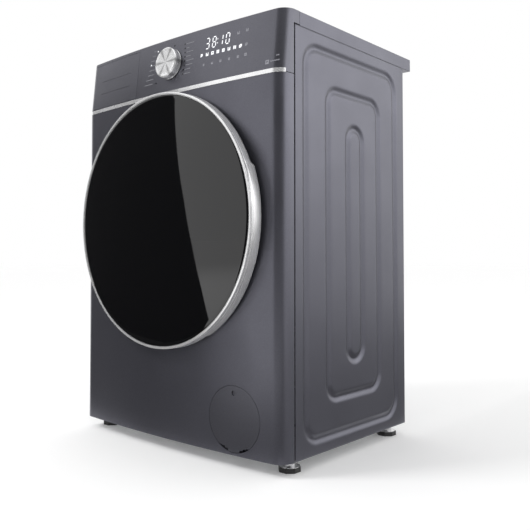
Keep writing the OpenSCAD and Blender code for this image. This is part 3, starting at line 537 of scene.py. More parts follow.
def drawn_metal(name, colour, roughness, grains, bump_depth, metallic=1.0, spread=0.12):
    """Plain metal with a grain of its own and a few duller patches."""
    material, tree, shader = surface(name, colour, roughness, metallic)
    patches = noise(tree, 25.0, 5.0)
    roughened(tree, shader, patches, roughness - 0.06, roughness + 0.12)
    grain = noise(tree, grains)
    tinted(tree, shader, grain, scaled_colour(colour, 1 - spread), scaled_colour(colour, 1 + spread))
    bumped(tree, shader, grain, 0.3, bump_depth)
    return material


finishes["chrome_trim"] = turned_metal("satin_chrome", (0.94, 0.94, 0.95), 0.24, 700.0, 0.0015, 0.7)
finishes["zinc_sheet"] = sheet_zinc("spangled_zinc", (0.62, 0.63, 0.64))
finishes["pin_steel"] = drawn_metal("ground_steel", (0.66, 0.66, 0.67), 0.25, 1400.0, 0.02)
finishes["drum_steel"] = turned_metal("polished_drum_steel", (0.78, 0.78, 0.79), 0.20, 900.0, 0.01)
finishes["cast_aluminium"] = drawn_metal("cast_aluminium", (0.60, 0.61, 0.62), 0.50, 500.0, 0.25)
finishes["motor_black"] = drawn_metal("black_motor_lacquer", (0.05, 0.05, 0.055), 0.38, 900.0, 0.06,
                                      0.6)

# %% [markdown]
# ### Spun knob
# The face of the knob is spun aluminium with fine circular lines. The fan of bright and dark
# wedges that light makes on a spun disc is painted into its colour as a painted highlight and painted
# reflection. The angle round the knob's own axis drives them, and the axis leans with the fascia.

# %% Knob metal
FASCIA_LEAN = math.radians(5.84)


def spun_disc_painted_highlights(name, colour, centre, lean, wedges=6):
    """Circular lines plus a painted highlight fan: the angle round the axis, times the number of
    wedges, folded to a triangle that is dark at each wedge's edge and bright in its middle, paints
    bright and dark wedges of reflected light into the base colour."""
    material, tree, shader = surface(name, colour, 0.24, 0.75, Anisotropic=0.6)
    local = placed(tree, centre, (math.pi / 2 - lean, 0, 0))
    angle = tree.nodes.new("ShaderNodeTexGradient")
    angle.gradient_type = "RADIAL"
    tree.links.new(local, angle.inputs["Vector"])
    turns = math_node(tree, "MULTIPLY", angle.outputs["Fac"], float(wedges))
    share = math_node(tree, "SUBTRACT", math_node(tree, "FRACT", turns), 0.5)
    fold = math_node(tree, "ABSOLUTE", share)
    ridges = turning_lines(tree, local, "XY", 3000.0)
    painted_fan_and_lines = math_node(tree, "ADD", fold, math_node(tree, "MULTIPLY", ridges, 0.12))
    # Painted highlight and painted reflection: bright in each wedge's middle, dark at its edges, mixed
    # with the real turning lines
    tinted(tree, shader, painted_fan_and_lines, scaled_colour(colour, 1.12), scaled_colour(colour, 0.42), 0.34, 0.57)
    bumped(tree, shader, ridges, 0.4, 0.02)
    return material


# %% [markdown]
# ### Glass, plastic, rubber and stone
# The outer door glass is printed black on its back, so it is a dark, very smooth gloss. The bowl
# behind it is clear. Moulded plastics have a fine spark-eroded grain, and the tub's filled plastic is
# streaky. The counterweights are cast concrete with sand and small holes.

# %% Glass
def smeared_glass():
    material, tree, shader = surface("black_door_glass", (0.0035, 0.0035, 0.004), 0.03, IOR=1.62)
    roughened(tree, shader, noise(tree, 14.0, 5.0, roughness=0.7), 0.015, 0.05)
    return material


def clear_glass():
    material, tree, shader = surface("clear_bowl_glass", (0.86, 0.93, 0.95), 0.02, IOR=1.5,
                                       Transmission_Weight=1.0)
    roughened(tree, shader, noise(tree, 30.0, 6.0, roughness=0.75), 0.01, 0.12, 0.5, 0.8)
    return material


# %% Plastic, rubber and stone
def moulded(name, colour, roughness, grains=1800.0, depth=0.04, streak=0.1):
    """Moulded plastic: an eroded grain in the surface and a slow change of tone."""
    material, tree, shader = surface(name, colour, roughness)
    tone = noise(tree, 6.0, 4.0)
    tinted(tree, shader, tone, scaled_colour(colour, 1 - streak), scaled_colour(colour, 1 + streak))
    grain = noise(tree, grains, 2.0)
    roughened(tree, shader, grain, roughness - 0.07, roughness + 0.07)
    bumped(tree, shader, grain, 0.3, depth)
    return material


def dull_rubber(name, colour):
    """Rubber: very rough, with a pale bloom in patches and a fine grain."""
    material, tree, shader = surface(name, colour, 0.72, Sheen_Weight=0.15, Sheen_Roughness=0.5)
    bloom = noise(tree, 35.0, 6.0, roughness=0.65)
    tinted(tree, shader, bloom, colour, scaled_colour(colour, 1.5), 0.4, 0.75)
    bumped(tree, shader, noise(tree, 1100.0, 3.0), 0.35, 0.08)
    return material


def concrete():
    material, tree, shader = surface("cast_concrete", (0.42, 0.41, 0.38), 0.9)
    sand = noise(tree, 420.0, 6.0, roughness=0.7)
    tinted(tree, shader, sand, (0.30, 0.29, 0.27), (0.55, 0.54, 0.50))
    holes = tree.nodes.new("ShaderNodeTexVoronoi")
    holes.inputs["Scale"].default_value = 90.0
    tree.links.new(placed(tree), holes.inputs["Vector"])
    pits = between(tree, holes.outputs["Distance"], 0, 1, 0.05, 0.35)
    bumped(tree, shader, math_node(tree, "ADD", pits, sand), 0.6, 0.8)
    return material


def circuit_board():
    """Green lacquer over copper: a brick pattern stands for the runs of copper under it."""
    material, tree, shader = surface("board_lacquer", (0.02, 0.14, 0.07), 0.32, Coat_Weight=0.4)
    runs = tree.nodes.new("ShaderNodeTexBrick")
    runs.inputs["Scale"].default_value = 160.0
    runs.inputs["Color1"].default_value = (0.012, 0.11, 0.05, 1)
    runs.inputs["Color2"].default_value = (0.02, 0.16, 0.08, 1)
    runs.inputs["Mortar"].default_value = (0.05, 0.26, 0.14, 1)
    tree.links.new(placed(tree, turn=(math.pi / 2, 0, 0)), runs.inputs["Vector"])
    tree.links.new(runs.outputs["Color"], shader.inputs["Base Color"])
    bumped(tree, shader, runs.outputs["Fac"], 0.3, 0.05)
    return material


finishes["black_glass"] = smeared_glass()
finishes["clear_glass"] = clear_glass()
finishes["dark_plastic"] = moulded("black_grained_plastic", (0.022, 0.022, 0.025), 0.5)
finishes["grey_plastic"] = moulded("filled_tub_plastic", (0.28, 0.29, 0.30), 0.55, 700.0, 0.1, 0.16)
finishes["white_plastic"] = moulded("white_drawer_plastic", (0.78, 0.78, 0.76), 0.38, 1500.0, 0.02,
                                    0.04)
finishes["blue_plastic"] = moulded("blue_insert_plastic", (0.09, 0.28, 0.60), 0.36, 1500.0, 0.02)
finishes["board_green"] = circuit_board()
finishes["rubber_grey"] = dull_rubber("grey_gasket_rubber", (0.16, 0.16, 0.165))
finishes["rubber_black"] = dull_rubber("black_hose_rubber", (0.022, 0.022, 0.022))
finishes["foot_black"] = dull_rubber("black_foot_rubber", (0.018, 0.018, 0.018))
finishes["concrete"] = concrete()

# %% [markdown]
# ### Printed and lit marks
# The digits and the row of symbols shine white through the fascia. The rest of the marks are thin
# grey print, so faint that they only show from close by, and the dots round the knob are dark windows.

# %% Marks
def lit(name, colour, strength):
    material, tree, shader = surface(name, (0.8, 0.8, 0.8), 0.35)
    shader.inputs["Emission Color"].default_value = (*colour, 1)
    shader.inputs["Emission Strength"].default_value = strength
    tinted(tree, shader, noise(tree, 300.0), (0.7, 0.7, 0.72), (0.85, 0.85, 0.87))
    return material


white_light = lit("white_segment_light", (0.93, 0.97, 1.0), 0.32)
grey_print = moulded("grey_print", (0.21, 0.21, 0.23), 0.5, 2500.0, 0.01)
pale_print = moulded("pale_print", (0.27, 0.27, 0.30), 0.5, 2500.0, 0.01)
dark_window = moulded("dark_window", (0.012, 0.012, 0.014), 0.2, 2500.0, 0.005)

for part in frame["record"]["subparts"]:
    piece = nodes[part["node"]]
    if part["material_slot"] in finishes:
        for place in piece.material_slots:
            place.material = finishes[part["material_slot"]]
polished_strip = drawn_metal("polished_strip", (0.94, 0.94, 0.95), 0.24, 60.0, 0.0005, 0.7, 0.03)
for place in nodes["chrome_strip"].material_slots:
    place.material = polished_strip
print("finishes", len(finishes))


# %% [markdown]
# ## Pressed side panels
# Each side is one sheet of thin steel, and three nested grooves are pressed into it so that it
# doesn't drum. A press leaves no sharp edges: across the groove its depth follows half a cosine wave.
# The panel is a grid whose lines lie close together near the grooves and far apart elsewhere.

# %% Side panels
GROOVE_HALF = 11.5
GROOVE_DEPTH = 4.0
SIDE_SHEET = 0.8
FOLD_R = 2.5
GROOVES = ((-135, 186, 53, 792, 37), (-64, 118, 121.5, 722, 29), (4, 55, 189, 655, 25))


def pressed_depth(y, z):
    """How deep the press pushes the sheet in: d is the distance from a groove's middle line, a
    rectangle with round corners, and the depth is that groove's share of 0.5 + 0.5 cos(pi d / half)."""
    deepest = np.zeros_like(y)
    for y0, y1, z0, z1, corner in GROOVES:
        across = np.abs(y - (y0 + y1) / 2) - ((y1 - y0) / 2 - corner)
        up = np.abs(z - (z0 + z1) / 2) - ((z1 - z0) / 2 - corner)
        outside = np.hypot(np.maximum(across, 0), np.maximum(up, 0))
        distance = np.abs(outside + np.minimum(np.maximum(across, up), 0) - corner)
        wave = 0.5 + 0.5 * np.cos(math.pi * np.clip(distance / GROOVE_HALF, 0, 1))
        deepest = np.maximum(deepest, GROOVE_DEPTH * wave)
    return deepest


def uneven(stops, fine, coarse):
    """Grid lines from stop to stop: fine steps in the first stretch, coarse in the next, and so on."""
    lines = [np.linspace(a, b, max(2, int(round((b - a) / (fine, coarse)[i % 2])) + 1))
             for i, (a, b) in enumerate(zip(stops[:-1], stops[1:]))]
    return np.unique(np.concatenate(lines).round(4))


def side_panel(side, node):
    """The grid of one side: along the panel, round the fold at its back edge and along its flange."""
    low, high = span(node)
    y_lines = uneven((low[1] + 2, -84, -80, -8, -6, 70, 74, 200), 2.5, 4)
    z_lines = uneven((low[2], 38, 38, 230, 230, 614, 614, high[2]), 2.6, 2.6)
    z_lines = np.unique(np.concatenate([z_lines[z_lines < 231], np.linspace(231, 614, 10),
                                        z_lines[z_lines > 614]]))
    quarter = np.linspace(0, math.pi / 2, 6)
    fold_y = high[1] - FOLD_R + FOLD_R * np.sin(quarter)
    fold_in = FOLD_R - FOLD_R * np.cos(quarter)
    y_row = np.concatenate([y_lines, fold_y, [high[1], high[1]]])
    in_row = np.concatenate([0 * y_lines, fold_in, [8.0, 17.5]])
    y, z = np.meshgrid(y_row, z_lines, indexing="ij")
    inward = np.meshgrid(in_row, z_lines, indexing="ij")[0] + pressed_depth(y, z)
    x = side * (np.abs(high[0] if side > 0 else low[0]) - inward)
    panel = grid_mesh(node + "_skin", np.stack([x, y, z], axis=-1), angle=60.0)
    piece = object_of(node + "_pressed", panel, finishes["cabinet_paint"])
    # A grid has no inside of its own, so the way its first face looks decides the wall's side
    wall = walled(piece, SIDE_SHEET, -1 if panel.polygons[0].normal.x * side > 0 else 1)
    wall.use_even_offset = True
    return stands_for(piece, node, "cabinet")


for side, node in ((-1, "left_side_panel"), (1, "right_side_panel")):
    print(node, len(side_panel(side, node).data.polygons), "faces")

# %% [markdown]
# ## Folded and moulded parts of the cabinet
# The front panel, the fascia, the worktop and the sheet metal at the back are right as they are, so
# they only get rolled edges. Thin sheet gets a hair of rounding; the thick worktop gets more.

# %% Cabinet parts
ROLLED_EDGES = {
    0.2: "control_board display_board",
    0.3: "rear_panel base_tray top_frame cord_gland hinge_bracket",
    0.4: "rear_cover filter_flap inlet_valve drawer_housing siphon_cap door_frame door_lock",
    0.5: """front_panel drawer_front chrome_strip drain_pipe transit_caps drawer_tray drain_pump
            filter_plug damper_cylinder_left damper_cylinder_right""",
    0.6: "control_fascia tub_front tub_rear drum_spider",
    0.8: "drive_motor hinge_arm drum_lifters",
    2.0: "worktop",
    2.5: "counterweights"}
for edge, names in ROLLED_EDGES.items():
    for node in names.split():
        finished(node, edge)


# %% [markdown]
# ## Door ring
# The ring is one rolled band of satin chrome round the black glass. Its outside swells slightly
# towards the panel, so it catches the light. On the opening side the band is deeper, which makes
# the grip, and on the other side it is cut away for the hinge. Its depth is therefore a function of
# the angle.

# %% Door ring
RING_R = 259.7
RING_FRONT = -242.0


def smooth_step(x, start, end):
    """Runs from 0 at start to 1 at end along 3t^2 - 2t^3."""
    t = np.clip((x - start) / (end - start), 0, 1)
    return t * t * (3 - 2 * t)


def door_ring():
    """A grid of outlines round the ring: the lip is the same everywhere, and the depth of the swelling
    outside is its share of the way to the rear at that angle."""
    t = np.linspace(0, 2 * math.pi, 360, endpoint=False)
    degrees = np.degrees(t)
    signed = (degrees + 180) % 360 - 180
    grip = smooth_step(signed, -61, -59) * (1 - smooth_step(signed, 21, 22.5))
    notch_half = math.degrees(math.asin(62 / RING_R))
    notch = smooth_step(180 - np.abs(signed), notch_half + 1.2, notch_half - 0.2)
    rear = -222 + 8 * grip - 15 * notch
    # The outline of the band: the groove for the glass, the bright lip, the swelling outside with one
    # fine groove near the front, and the hollow inside. Depths are shares of the way to the rear.
    lip = np.array([[253.9, -238.6], [253.9, -241.2], [254.1, -241.8], [254.6, RING_FRONT],
                    [258.2, RING_FRONT], [258.8, -241.7], [259.1, -241.2], [259.2, -240.6]])
    share = np.array([0.06, 0.1, 0.16, 0.165, 0.2, 0.205, 0.25, 0.34, 0.45, 0.58, 0.72, 0.86, 0.96,
                      1.0, 1.0, 0.5])
    shape_r = np.array([0, 0, -0.1, -0.6, -0.6, -0.1, 0, 0, 0, 0, 0, 0, 0, -0.25, -2.2, -2.4])
    swell = RING_R - 1.5 * (1 - share) ** 2.2 + shape_r
    count = len(t)
    r = np.concatenate([np.tile(lip[:, 0], (count, 1)), np.tile(swell, (count, 1)),
                        np.full((count, 1), 253.9)], axis=1)
    y_lip = np.tile(lip[:, 1], (count, 1))
    y_side = -240.3 + share[None] * (rear[:, None] + 240.3)
    y = np.concatenate([y_lip, y_side, np.full((count, 1), -238.2)], axis=1)
    y[:, -2] = np.minimum(y[:, -2], -238.0)
    points = np.stack([r * np.cos(t)[:, None], y, 469 + r * np.sin(t)[:, None]], axis=-1)
    mesh = grid_mesh("door_ring_band", points, wrap_u=True, wrap_v=True, angle=40.0)
    piece = object_of("door_ring_band", mesh, finishes["chrome_trim"])
    return stands_for(piece, "door_ring", "door")


print("door ring", len(door_ring().data.polygons), "faces")

# %% [markdown]
# ## Outer glass
# The outer glass is a shallow dome. Its front is a piece of a sphere, and its edge is ground round
# where it drops into the ring.

# %% Outer glass
def turned_piece(name, outline, node, slot, body=None, **how):
    """A part turned from an open outline, in the finish of its slot, that stands for a CAD node."""
    piece = object_of(name, turned(name, outline, closed=False, **how), finishes[slot])
    return stands_for(piece, node, body)


GLASS_R = 253.6
GLASS_RISE = 18.0


def dome(radius, rise, front, count):
    """The front of a dome from its middle to its edge: y = front + R - sqrt(R^2 - r^2), where the
    sphere's radius is R = (radius^2 + rise^2) / (2 rise)."""
    sphere = (radius ** 2 + rise ** 2) / (2 * rise)
    r = np.linspace(0, radius, count)
    return np.stack([r, front + sphere - np.sqrt(sphere ** 2 - r ** 2)], axis=1)


outside = dome(GLASS_R - 0.9, GLASS_RISE, -260.0, 40)
inside = dome(GLASS_R - 0.9, GLASS_RISE, -256.4, 20)[::-1]
rim = np.array([[GLASS_R - 0.3, outside[-1, 1] + 0.25], [GLASS_R, outside[-1, 1] + 0.9],
                [GLASS_R, inside[0, 1] - 0.8], [GLASS_R - 0.4, inside[0, 1] - 0.1]])
glass = turned_piece("door_glass_dome", np.concatenate([outside, rim, inside]), "door_glass",
                     "black_glass", "door", turns=240)
print("glass dome", tuple(round(v, 3) for v in glass.dimensions))

# %% [markdown]
# ## Glass bowl
# Behind the outer glass sits the thick clear bowl that pushes the laundry back into the drum. It is
# pressed glass, so every corner of its outline is generously round.

# %% Glass bowl
bowl_corners = [(0, -109, 0), (89, -109, 14), (100.5, -112.5, 10), (130, -152.5, 18), (142.5, -199, 12),
                (142.5, -226, 1), (160, -226, 1), (160, -222.1, 1), (147.5, -222.1, 2),
                (147.5, -198, 14), (135, -150, 20), (105, -108, 12), (92, -104, 16), (0, -104, 0)]
bowl = turned_piece("door_bowl_pressed", rounded(bowl_corners, 8, closed=False), "door_bowl",
                    "clear_glass", "door", turns=144)
print("bowl faces", len(bowl.data.polygons))

# %% [markdown]
# ## Knob
# The knob is turned from aluminium: a dished face with a rim, a chamfer, and a skirt with fine
# flutes for the fingers. It leans back with the fascia, so it is made upright and then turned.

# %% Knob
SKIRT_END = 16.0
FLUTES, FLUTE_DEPTH = 72, 0.28


def knob(node="programme_knob"):
    """A surface of revolution about the knob's own axis, measured on the CAD node. The skirt's radius
    falls by depth times 0.5 - 0.5 cos(n t), which cuts n flutes."""
    leaned = Matrix.Rotation(-FASCIA_LEAN, 4, "X")
    local = np.array([leaned.inverted() @ v.co for v in nodes[node].data.vertices]) / MM
    centre = (local.min(axis=0) + local.max(axis=0)) / 2
    front, end = local[:, 1].min(), local[:, 1].max() - local[:, 1].min()
    outer = (local[:, 0].max() - local[:, 0].min()) / 2
    face = [(0, 0.7), (6, 0.65), (14, 0.5), (22, 0.28)]
    # Depths from the edge inwards, and heights behind the face
    rim = [(3.6, 0.1), (3.0, 0.0), (2.2, 0.0), (1.4, 0.35), (0.6, 1.3), (0.25, 2.4), (0.25, 12.6),
           (0.6, 13.2), (0.6, 13.7), (0.05, 14.1), (0.05, SKIRT_END - 0.4), (0.4, SKIRT_END),
           (3, SKIRT_END), (3, SKIRT_END - 4)]
    shaft = [(3, SKIRT_END - 4), (3, end - 0.5), (2.5, end), (0, end)]
    outline = np.array(face + [(outer - depth, height) for depth, height in rim] + shaft)
    t = np.linspace(0, 2 * math.pi, 4 * FLUTES, endpoint=False)[:, None]
    fluted = ((outline[:, 1] >= 2.4) & (outline[:, 1] <= 12.6) & (outline[:, 0] > outer - 1))[None]
    r = outline[None, :, 0] - FLUTE_DEPTH * fluted * (0.5 - 0.5 * np.cos(FLUTES * t))
    y = front + outline[None, :, 1] + 0 * t
    points = np.stack([centre[0] + r * np.cos(t), y, centre[2] + r * np.sin(t)], axis=-1)
    mesh = grid_mesh("knob_turned", points, wrap_u=True, angle=30.0)
    mesh.transform(leaned)
    middle = leaned @ Vector((centre[0], front, centre[2])) * MM
    # The knob's metal carries painted highlights: a fan of bright and dark wedges in its base colour
    metal = spun_disc_painted_highlights("spun_knob_aluminium_painted_highlights", (0.86, 0.86, 0.87), middle, FASCIA_LEAN)
    return stands_for(object_of("knob_turned", mesh, metal), node, "knob")


print("knob", [round(v, 4) for v in knob().dimensions])

# %% [markdown]
# ## Marks on the fascia
# The lit digits and symbols, and the printed scale, follow the fascia: it is bowed from side to side
# and leans back, so y is a function of x and z. A mark is a flat outline laid on that function, a
# fifth of a millimetre thick.

# %% Fascia surface
BOW_R = (289.0 ** 2 + 12.5 ** 2) / 25.0


def fascia_y(x, z):
    """The front of the fascia: a circle of radius R in plan, leaning back with the height."""
    return -215 + BOW_R - np.sqrt(BOW_R ** 2 - x ** 2) + (z - 737) * math.tan(FASCIA_LEAN)


def bars(boxes, slant=0.0):
    """Flat bars on the fascia: each is (x, z, half width, half height). Every bar is a small grid of
    two by two corners with its own thickness, so the bow carries it. The slant leans them sideways."""
    boxes = np.asarray(boxes, float)
    x, z, half_x, half_z = boxes.T[:, :, None]
    corner_z = z + np.array([-1, -1, 1, 1])[None] * half_z
    corner_x = x + np.array([-1, 1, 1, -1])[None] * half_x + slant * corner_z
    base = fascia_y(corner_x, corner_z)
    front = np.stack([corner_x, base - 0.18, corner_z], axis=-1)
    back = np.stack([corner_x, base + 0.12, corner_z], axis=-1)
    points = np.concatenate([front, back], axis=1).reshape(-1, 3)
    start = np.arange(len(boxes))[:, None, None] * 8
    sides = np.array([[0, 1, 2, 3], [7, 6, 5, 4], [0, 4, 5, 1], [1, 5, 6, 2], [2, 6, 7, 3],
                      [3, 7, 4, 0]])
    faces = (start + sides[None]).reshape(-1, 4)
    return points, faces


def marks(name, boxes, material, slant=0.0):
    """One piece made of all the given bars."""
    points, faces = bars(boxes, slant)
    mesh = bpy.data.meshes.new(name)
    mesh.from_pydata((points * MM).tolist(), [], faces.tolist())
    clean(mesh)
    piece = object_of(name, mesh, material)
    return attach(piece, "cabinet")


# %% [markdown]
# ### Digits
# The time is shown by seven-segment digits. Each digit is a list of the segments that are lit, and a
# segment is a bar at one of seven places.

# %% Digits
SEGMENTS = {"top": (0, 1, 0), "middle": (0, 0, 0), "bottom": (0, -1, 0), "upper left": (-1, 0.5, 1),
            "upper right": (1, 0.5, 1), "lower left": (-1, -0.5, 1), "lower right": (1, -0.5, 1)}
LIT = {"3": ("top", "middle", "bottom", "upper right", "lower right"), "8": tuple(SEGMENTS),
       "1": ("upper right", "lower right"),
       "0": ("top", "bottom", "upper left", "upper right", "lower left", "lower right")}


def digit(number, x, z, half_x=4.3, half_z=10.4, stroke=1.0):
    """The bars of one digit round its middle."""
    boxes = []
    for segment in LIT[number]:
        across, up, upright = SEGMENTS[segment]
        place = (x + across * half_x, z + up * half_z)
        boxes.append((*place, stroke, half_z / 2 - 1.5) if upright else (*place, half_x - 1.3, stroke))
    return boxes


SLANT = 0.07
TIME_Z = 816.5
time_boxes = [box for number, x in zip("3810", (110.5, 128.0, 146.0, 163.5))
              for box in digit(number, x - SLANT * TIME_Z, TIME_Z)]
time_boxes += [(137.0 - SLANT * z, z, 0.9, 0.9) for z in (812.5, 820.5)]
marks("display_digits", time_boxes, white_light, slant=SLANT)
print("lit bars", len(time_boxes))

# %% [markdown]
# ### Symbols
# Eight square symbols stand in a row under the time. They are plain stand-ins for the function
# symbols: a lit square with a few dark strokes left out of it, and no two neighbours are alike.

# %% Symbols
PATTERNS = ("1110 1010 1110 1000", "1001 1001 1111 1111", "1111 1001 1011 1111", "1111 1011 1101 1111",
            "1111 1101 1101 1111", "1001 1011 1001 1111", "1101 1011 1101 1011", "0111 1101 1011 1110")


def symbol(rows, x, z, size):
    """A symbol drawn on a grid of four by four cells, given as four rows of ones and zeros."""
    cell = size / 4
    return [(x + (i - 1.5) * cell, z - (j - 1.5) * cell, cell * 0.53, cell * 0.53)
            for j, row in enumerate(rows.split()) for i, on in enumerate(row) if on == "1"]


marks("display_symbols", [box for i, rows in enumerate(PATTERNS)
                          for box in symbol(rows, 96.5 + 14.4 * i, 794.5, 6.6)], white_light)
touch_column = ((5, 211.5, 823.0), (1, 190.0, 821.5), (7, 211.5, 795.0), (3, 211.5, 775.0))
marks("touch_symbols", [box for i, rows in enumerate(PATTERNS[:5])
                        for box in symbol(rows, 104.0 + 22.2 * i, 774.0, 4.8)]
      + [box for i, x, z in touch_column for box in symbol(PATTERNS[i], x, z, 5.6)], pale_print)
marks("corner_symbol", symbol(PATTERNS[2], 264.0, 750.5, 7.6)
      + [(271.5 + 2.4 * i, 751.0 - 0.6 * (i % 2), 0.8, 0.9) for i in range(9)]
      + [(284.5 + 2.4 * i, 760.0, 0.8, 0.9) for i in range(3)], pale_print)

# %% [markdown]
# ### Programme scale
# Eight small dark windows stand to the right of the knob, each with a dash of grey print that stands
# for the programme's name. On the left there are seven more, two of them lit.

# %% Programme scale
def dashes(x, z, length, way, beat, row):
    """Print that stands for a word: short bars side by side, every third or so of them taller."""
    return [(x + way * 2.2 * i, z, 0.85, 0.75 + 0.3 * ((i * beat + row) % 3 == 0))
            for i in range(int(length / 2.2))]


right = list(zip(43.0 + 3.5 * np.cos(np.linspace(-1.3, 1.3, 8)), np.linspace(829, 766, 8),
                 (22, 10, 20, 14, 24, 20, 17, 18)))
left = list(zip(np.linspace(833, 762, 8), (8, 12, 16, 18, 18, 24, 26, 30)))
marks("scale_windows", [(x, z, 1.5, 1.7) for x, z, length in right]
      + [(12.0, 832.5, 1.7, 1.5), (-39.0, 761.0, 1.7, 1.5)], dark_window)
marks("scale_print", [box for j, (x, z, length) in enumerate(right)
                      for box in dashes(x + 5.5, z, length, 1, 7, j)]
      + [box for j, (z, length) in enumerate(left)
         for box in dashes(-48.0 - 3.0 * (j > 5), z, length, -1, 5, j)], grey_print)
marks("scale_lights", [(-40.5, 831.0, 1.3, 1.3), (-60.0, 804.5, 1.3, 1.3)], white_light)


# %% [markdown]
# ## Drum
# The drum is a thin stainless shell, rolled at the mouth and punched with hundreds of holes. A hole
# here is a cell of the wall's grid: eight points on a square, eight on a circle inside it, and quads
# between the two. The back wall has rays pressed into it, and Solidify gives it all its thickness.

# %% Drum
DRUM_R = 231.5
DRUM_SHEET = 0.7
HOLES_ROUND, HOLES_DEEP, HOLE_R = 96, 16, 2.6
DRUM_FROM, DRUM_TO = -130.0, 110.0


def punched_wall():
    """The wall between DRUM_FROM and DRUM_TO: cell (i, j) has its middle at 2 pi (i + 0.5) / n."""
    i, j, k = np.meshgrid(np.arange(HOLES_ROUND), np.arange(HOLES_DEEP), np.arange(8), indexing="ij")
    deep = (DRUM_TO - DRUM_FROM) / HOLES_DEEP
    wide = 2 * math.pi / HOLES_ROUND
    square = np.array([[1, 0], [1, 1], [0, 1], [-1, 1], [-1, 0], [-1, -1], [0, -1], [1, -1]])
    corner = k * math.pi / 4
    rings = []
    for across, along in ((square[k, 0] * wide / 2, square[k, 1] * deep / 2),
                          (np.cos(corner) * HOLE_R / DRUM_R, np.sin(corner) * HOLE_R)):
        angle = (i + 0.5) * wide + across
        y = DRUM_FROM + (j + 0.5) * deep + along
        ring = np.stack([DRUM_R * np.cos(angle), y, 469 + DRUM_R * np.sin(angle)], axis=-1)
        rings.append(ring.reshape(-1, 3))
    count = HOLES_ROUND * HOLES_DEEP
    base = np.arange(count)[:, None] * 8
    here, after = np.arange(8)[None], (np.arange(8)[None] + 1) % 8
    inner = base + count * 8
    faces = np.stack([base + here, base + after, inner + after, inner + here], axis=-1)
    mesh = bpy.data.meshes.new("punched_wall")
    mesh.from_pydata((np.concatenate(rings) * MM).tolist(), [], faces.reshape(-1, 4).tolist())
    return mesh


def pressed_back():
    """The back wall: a disc whose three arms and outer ring stand 3 mm forward, with soft flanks."""
    r = np.concatenate([[0], np.linspace(18, DRUM_R - 9, 34)])
    t = np.linspace(0, 2 * math.pi, 2 * HOLES_ROUND, endpoint=False)
    radius, angle = np.meshgrid(r, t, indexing="ij")
    offset = np.abs((np.degrees(angle) - 30 + 60) % 120 - 60) * math.pi / 180 * radius
    arm = 1 - smooth_step(offset, 26, 34)
    between_arms = smooth_step(radius, 62, 72) * (1 - smooth_step(radius, 196, 208)) * (1 - arm)
    y = 125.0 - 3.2 * between_arms
    points = np.stack([radius * np.cos(angle), y, 469 + radius * np.sin(angle)], axis=-1)
    return grid_mesh("pressed_back", points, wrap_v=True)


def drum_shell():
    """The punched wall with its rolled front, its back edge and its pressed back, in one shell."""
    rounds = 2 * HOLES_ROUND
    front = rounded([(DRUM_R, DRUM_FROM, 0), (DRUM_R, -141, 5), (224, -141, 3), (218, -138.5, 3),
                     (176, -138.5, 4), (170, -141, 3), (165, -141, 2), (165, -138.5, 0)], closed=False)
    back = rounded([(DRUM_R, DRUM_TO, 0), (DRUM_R, 125, 7), (DRUM_R - 9, 125, 0)], closed=False)
    meshes = [punched_wall(), pressed_back()]
    meshes += [turned(name, outline, turns=rounds, closed=False) for name, outline in
               (("drum_front_wall", front), ("drum_back_edge", back))]
    whole = joined("drum_shell", meshes)
    clean(whole, 40.0)
    piece = object_of("drum_shell", whole, finishes["drum_steel"])
    walled(piece, DRUM_SHEET)
    return stands_for(piece, "drum", "drum_assembly")


print("drum faces", len(drum_shell().data.polygons))

# %% [markdown]
# ## Gasket
# The grey gasket closes the gap between the fixed front and the tub that hangs behind it. It is a
# folded rubber bellows: its front is held by the cabinet and its back by the tub.

# %% Gasket
GASKET_WALL = 1.9
gasket_line = rounded([(181.3, -191.5, 0), (181.3, -208.5, 2.5), (168.3, -208.5, 3), (168.3, -201, 2.5),
                       (149.5, -200.4, 1), (149.5, -200.2, 0), (168.3, -198.5, 2), (168.3, -189.6, 3.5),
                       (179.6, -187, 5), (179.6, -177.6, 5), (174.0, -176, 4), (174.0, -161, 0)], 7,
                      closed=False)
gasket = turned_piece("gasket_bellows", gasket_line, "door_gasket", "rubber_grey", turns=128,
                      angle=60.0)
walled(gasket, GASKET_WALL)
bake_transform(gasket)
print("gasket points", len(gasket_line))

# %% [markdown]
# ## Springs
# The tub hangs on four coil springs. A coil is a circle drawn along a helix: x and y turn while z
# rises evenly. Straight hooks at both ends reach the hanger above and the tub's arm below.

# %% Springs
WIRE_R = 1.4
COIL_TURNS, COIL_R, COIL_FOOT, COIL_RISE = 27, 8.0, 653.5, 117
HOOK_FOOT, HOOK_TOP = 629.0, 791.0


def spring(x, y):
    """x + r cos t, y + r sin t, and z in step with t; the hooks ease from the axis out to the coil."""
    t = np.linspace(0, 1, COIL_TURNS * 14 + 1)
    angle = 2 * math.pi * COIL_TURNS * t
    coil = np.stack([x + COIL_R * np.cos(angle), y + COIL_R * np.sin(angle), COIL_FOOT + COIL_RISE * t],
                    axis=1)
    ease = np.linspace(0, 1, 8)[:, None]
    curve = ease * ease * (3 - 2 * ease)
    foot, way = np.array([[x, y, HOOK_FOOT]]), np.hstack([curve, curve, ease])
    low_hook = foot + (coil[:1] - foot) * way
    high_hook = coil[-1:] + ([[x, y, HOOK_TOP]] - coil[-1:]) * way
    return wire("spring_wire", np.concatenate([low_hook[:-1], coil, high_hook[1:]]), WIRE_R, 7)


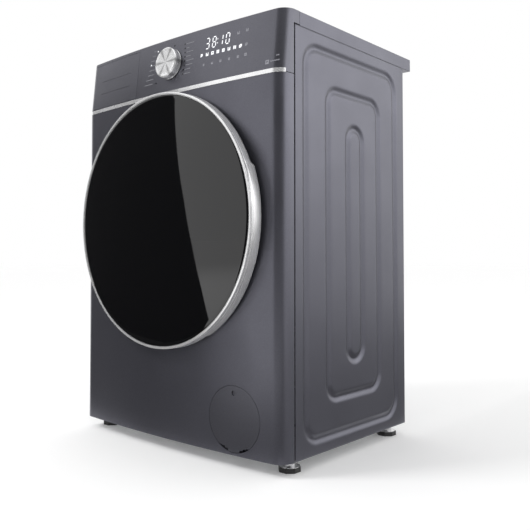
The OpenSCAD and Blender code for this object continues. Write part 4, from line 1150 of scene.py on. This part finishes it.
coils = joined("spring_coils", [spring(x, y) for x in (-278, 278) for y in (-80, 80)])
springs = stands_for(object_of("spring_coils", coils, finishes["pin_steel"]), "suspension_springs")
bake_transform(springs)
print("spring faces", len(springs.data.polygons))

# %% [markdown]
# ## Hoses
# The hoses to and from the tub are moulded bellows, so that they give when the tub moves. A hose is
# one closed surface: rings along its path on the outside, then back again on the inside.

# %% Hoses
def hose(name, node, path, outer, wall):
    """Circles of the given radius square to the path, out along it and back with the wall taken off."""
    along = np.gradient(path, axis=0)
    points = rings_along(np.concatenate([path, path[::-1]]), np.concatenate([along, along[::-1]]),
                         np.concatenate([outer, outer[::-1] - wall]), 48, (0.0, 1.0, 0.0))
    mesh = grid_mesh(name, points, wrap_u=True, wrap_v=True, angle=70.0)
    return stands_for(object_of(name, mesh, finishes["rubber_black"]), node)


def bellows(along, start, end, smooth_r, depth, pitch):
    """A radius that waves by depth between start and end, and is smooth beyond them."""
    ease_out = 1 - smooth_step(along, end - pitch / 2, end)
    inside = smooth_step(along, start, start + pitch / 2) * ease_out
    return smooth_r + inside * depth * (0.5 - 0.5 * np.cos(2 * math.pi * (along - start) / pitch))


rise = np.linspace(680.0, 742.0, 63)
fill = hose("fill_hose_bellows", "fill_hose", np.stack([0 * rise - 150, 0 * rise + 50, rise], axis=1),
            bellows(rise, 690, 730, 18.6, 2.2, 8.0), 2.4)
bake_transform(fill)

sump_path, sump_along = path_of([(60, -110, 198), (60, -110, 92.5), (146, -110, 92.5)], 27.0, 1.5)
sump = hose("sump_hose_bellows", "sump_hose", sump_path,
            bellows(sump_along, 12, 60, 19.0, 1.0, 8.0), 2.6)
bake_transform(sump)
print("hose faces", len(fill.data.polygons) + len(sump.data.polygons))

# %% [markdown]
# ## Feet
# A foot is a black octagonal pad moulded onto a steel stud. One mesh carries both finishes: faces
# above the pad take the steel.

# %% Feet
for node in ("foot_front_left", "foot_front_right", "foot_rear_left", "foot_rear_right"):
    foot = finished(node, 0.7)
    foot.data.materials.append(finishes["pin_steel"])
    for face in foot.data.polygons:
        face.material_index = int(face.center.z > 9.5 * MM)
print("feet done")
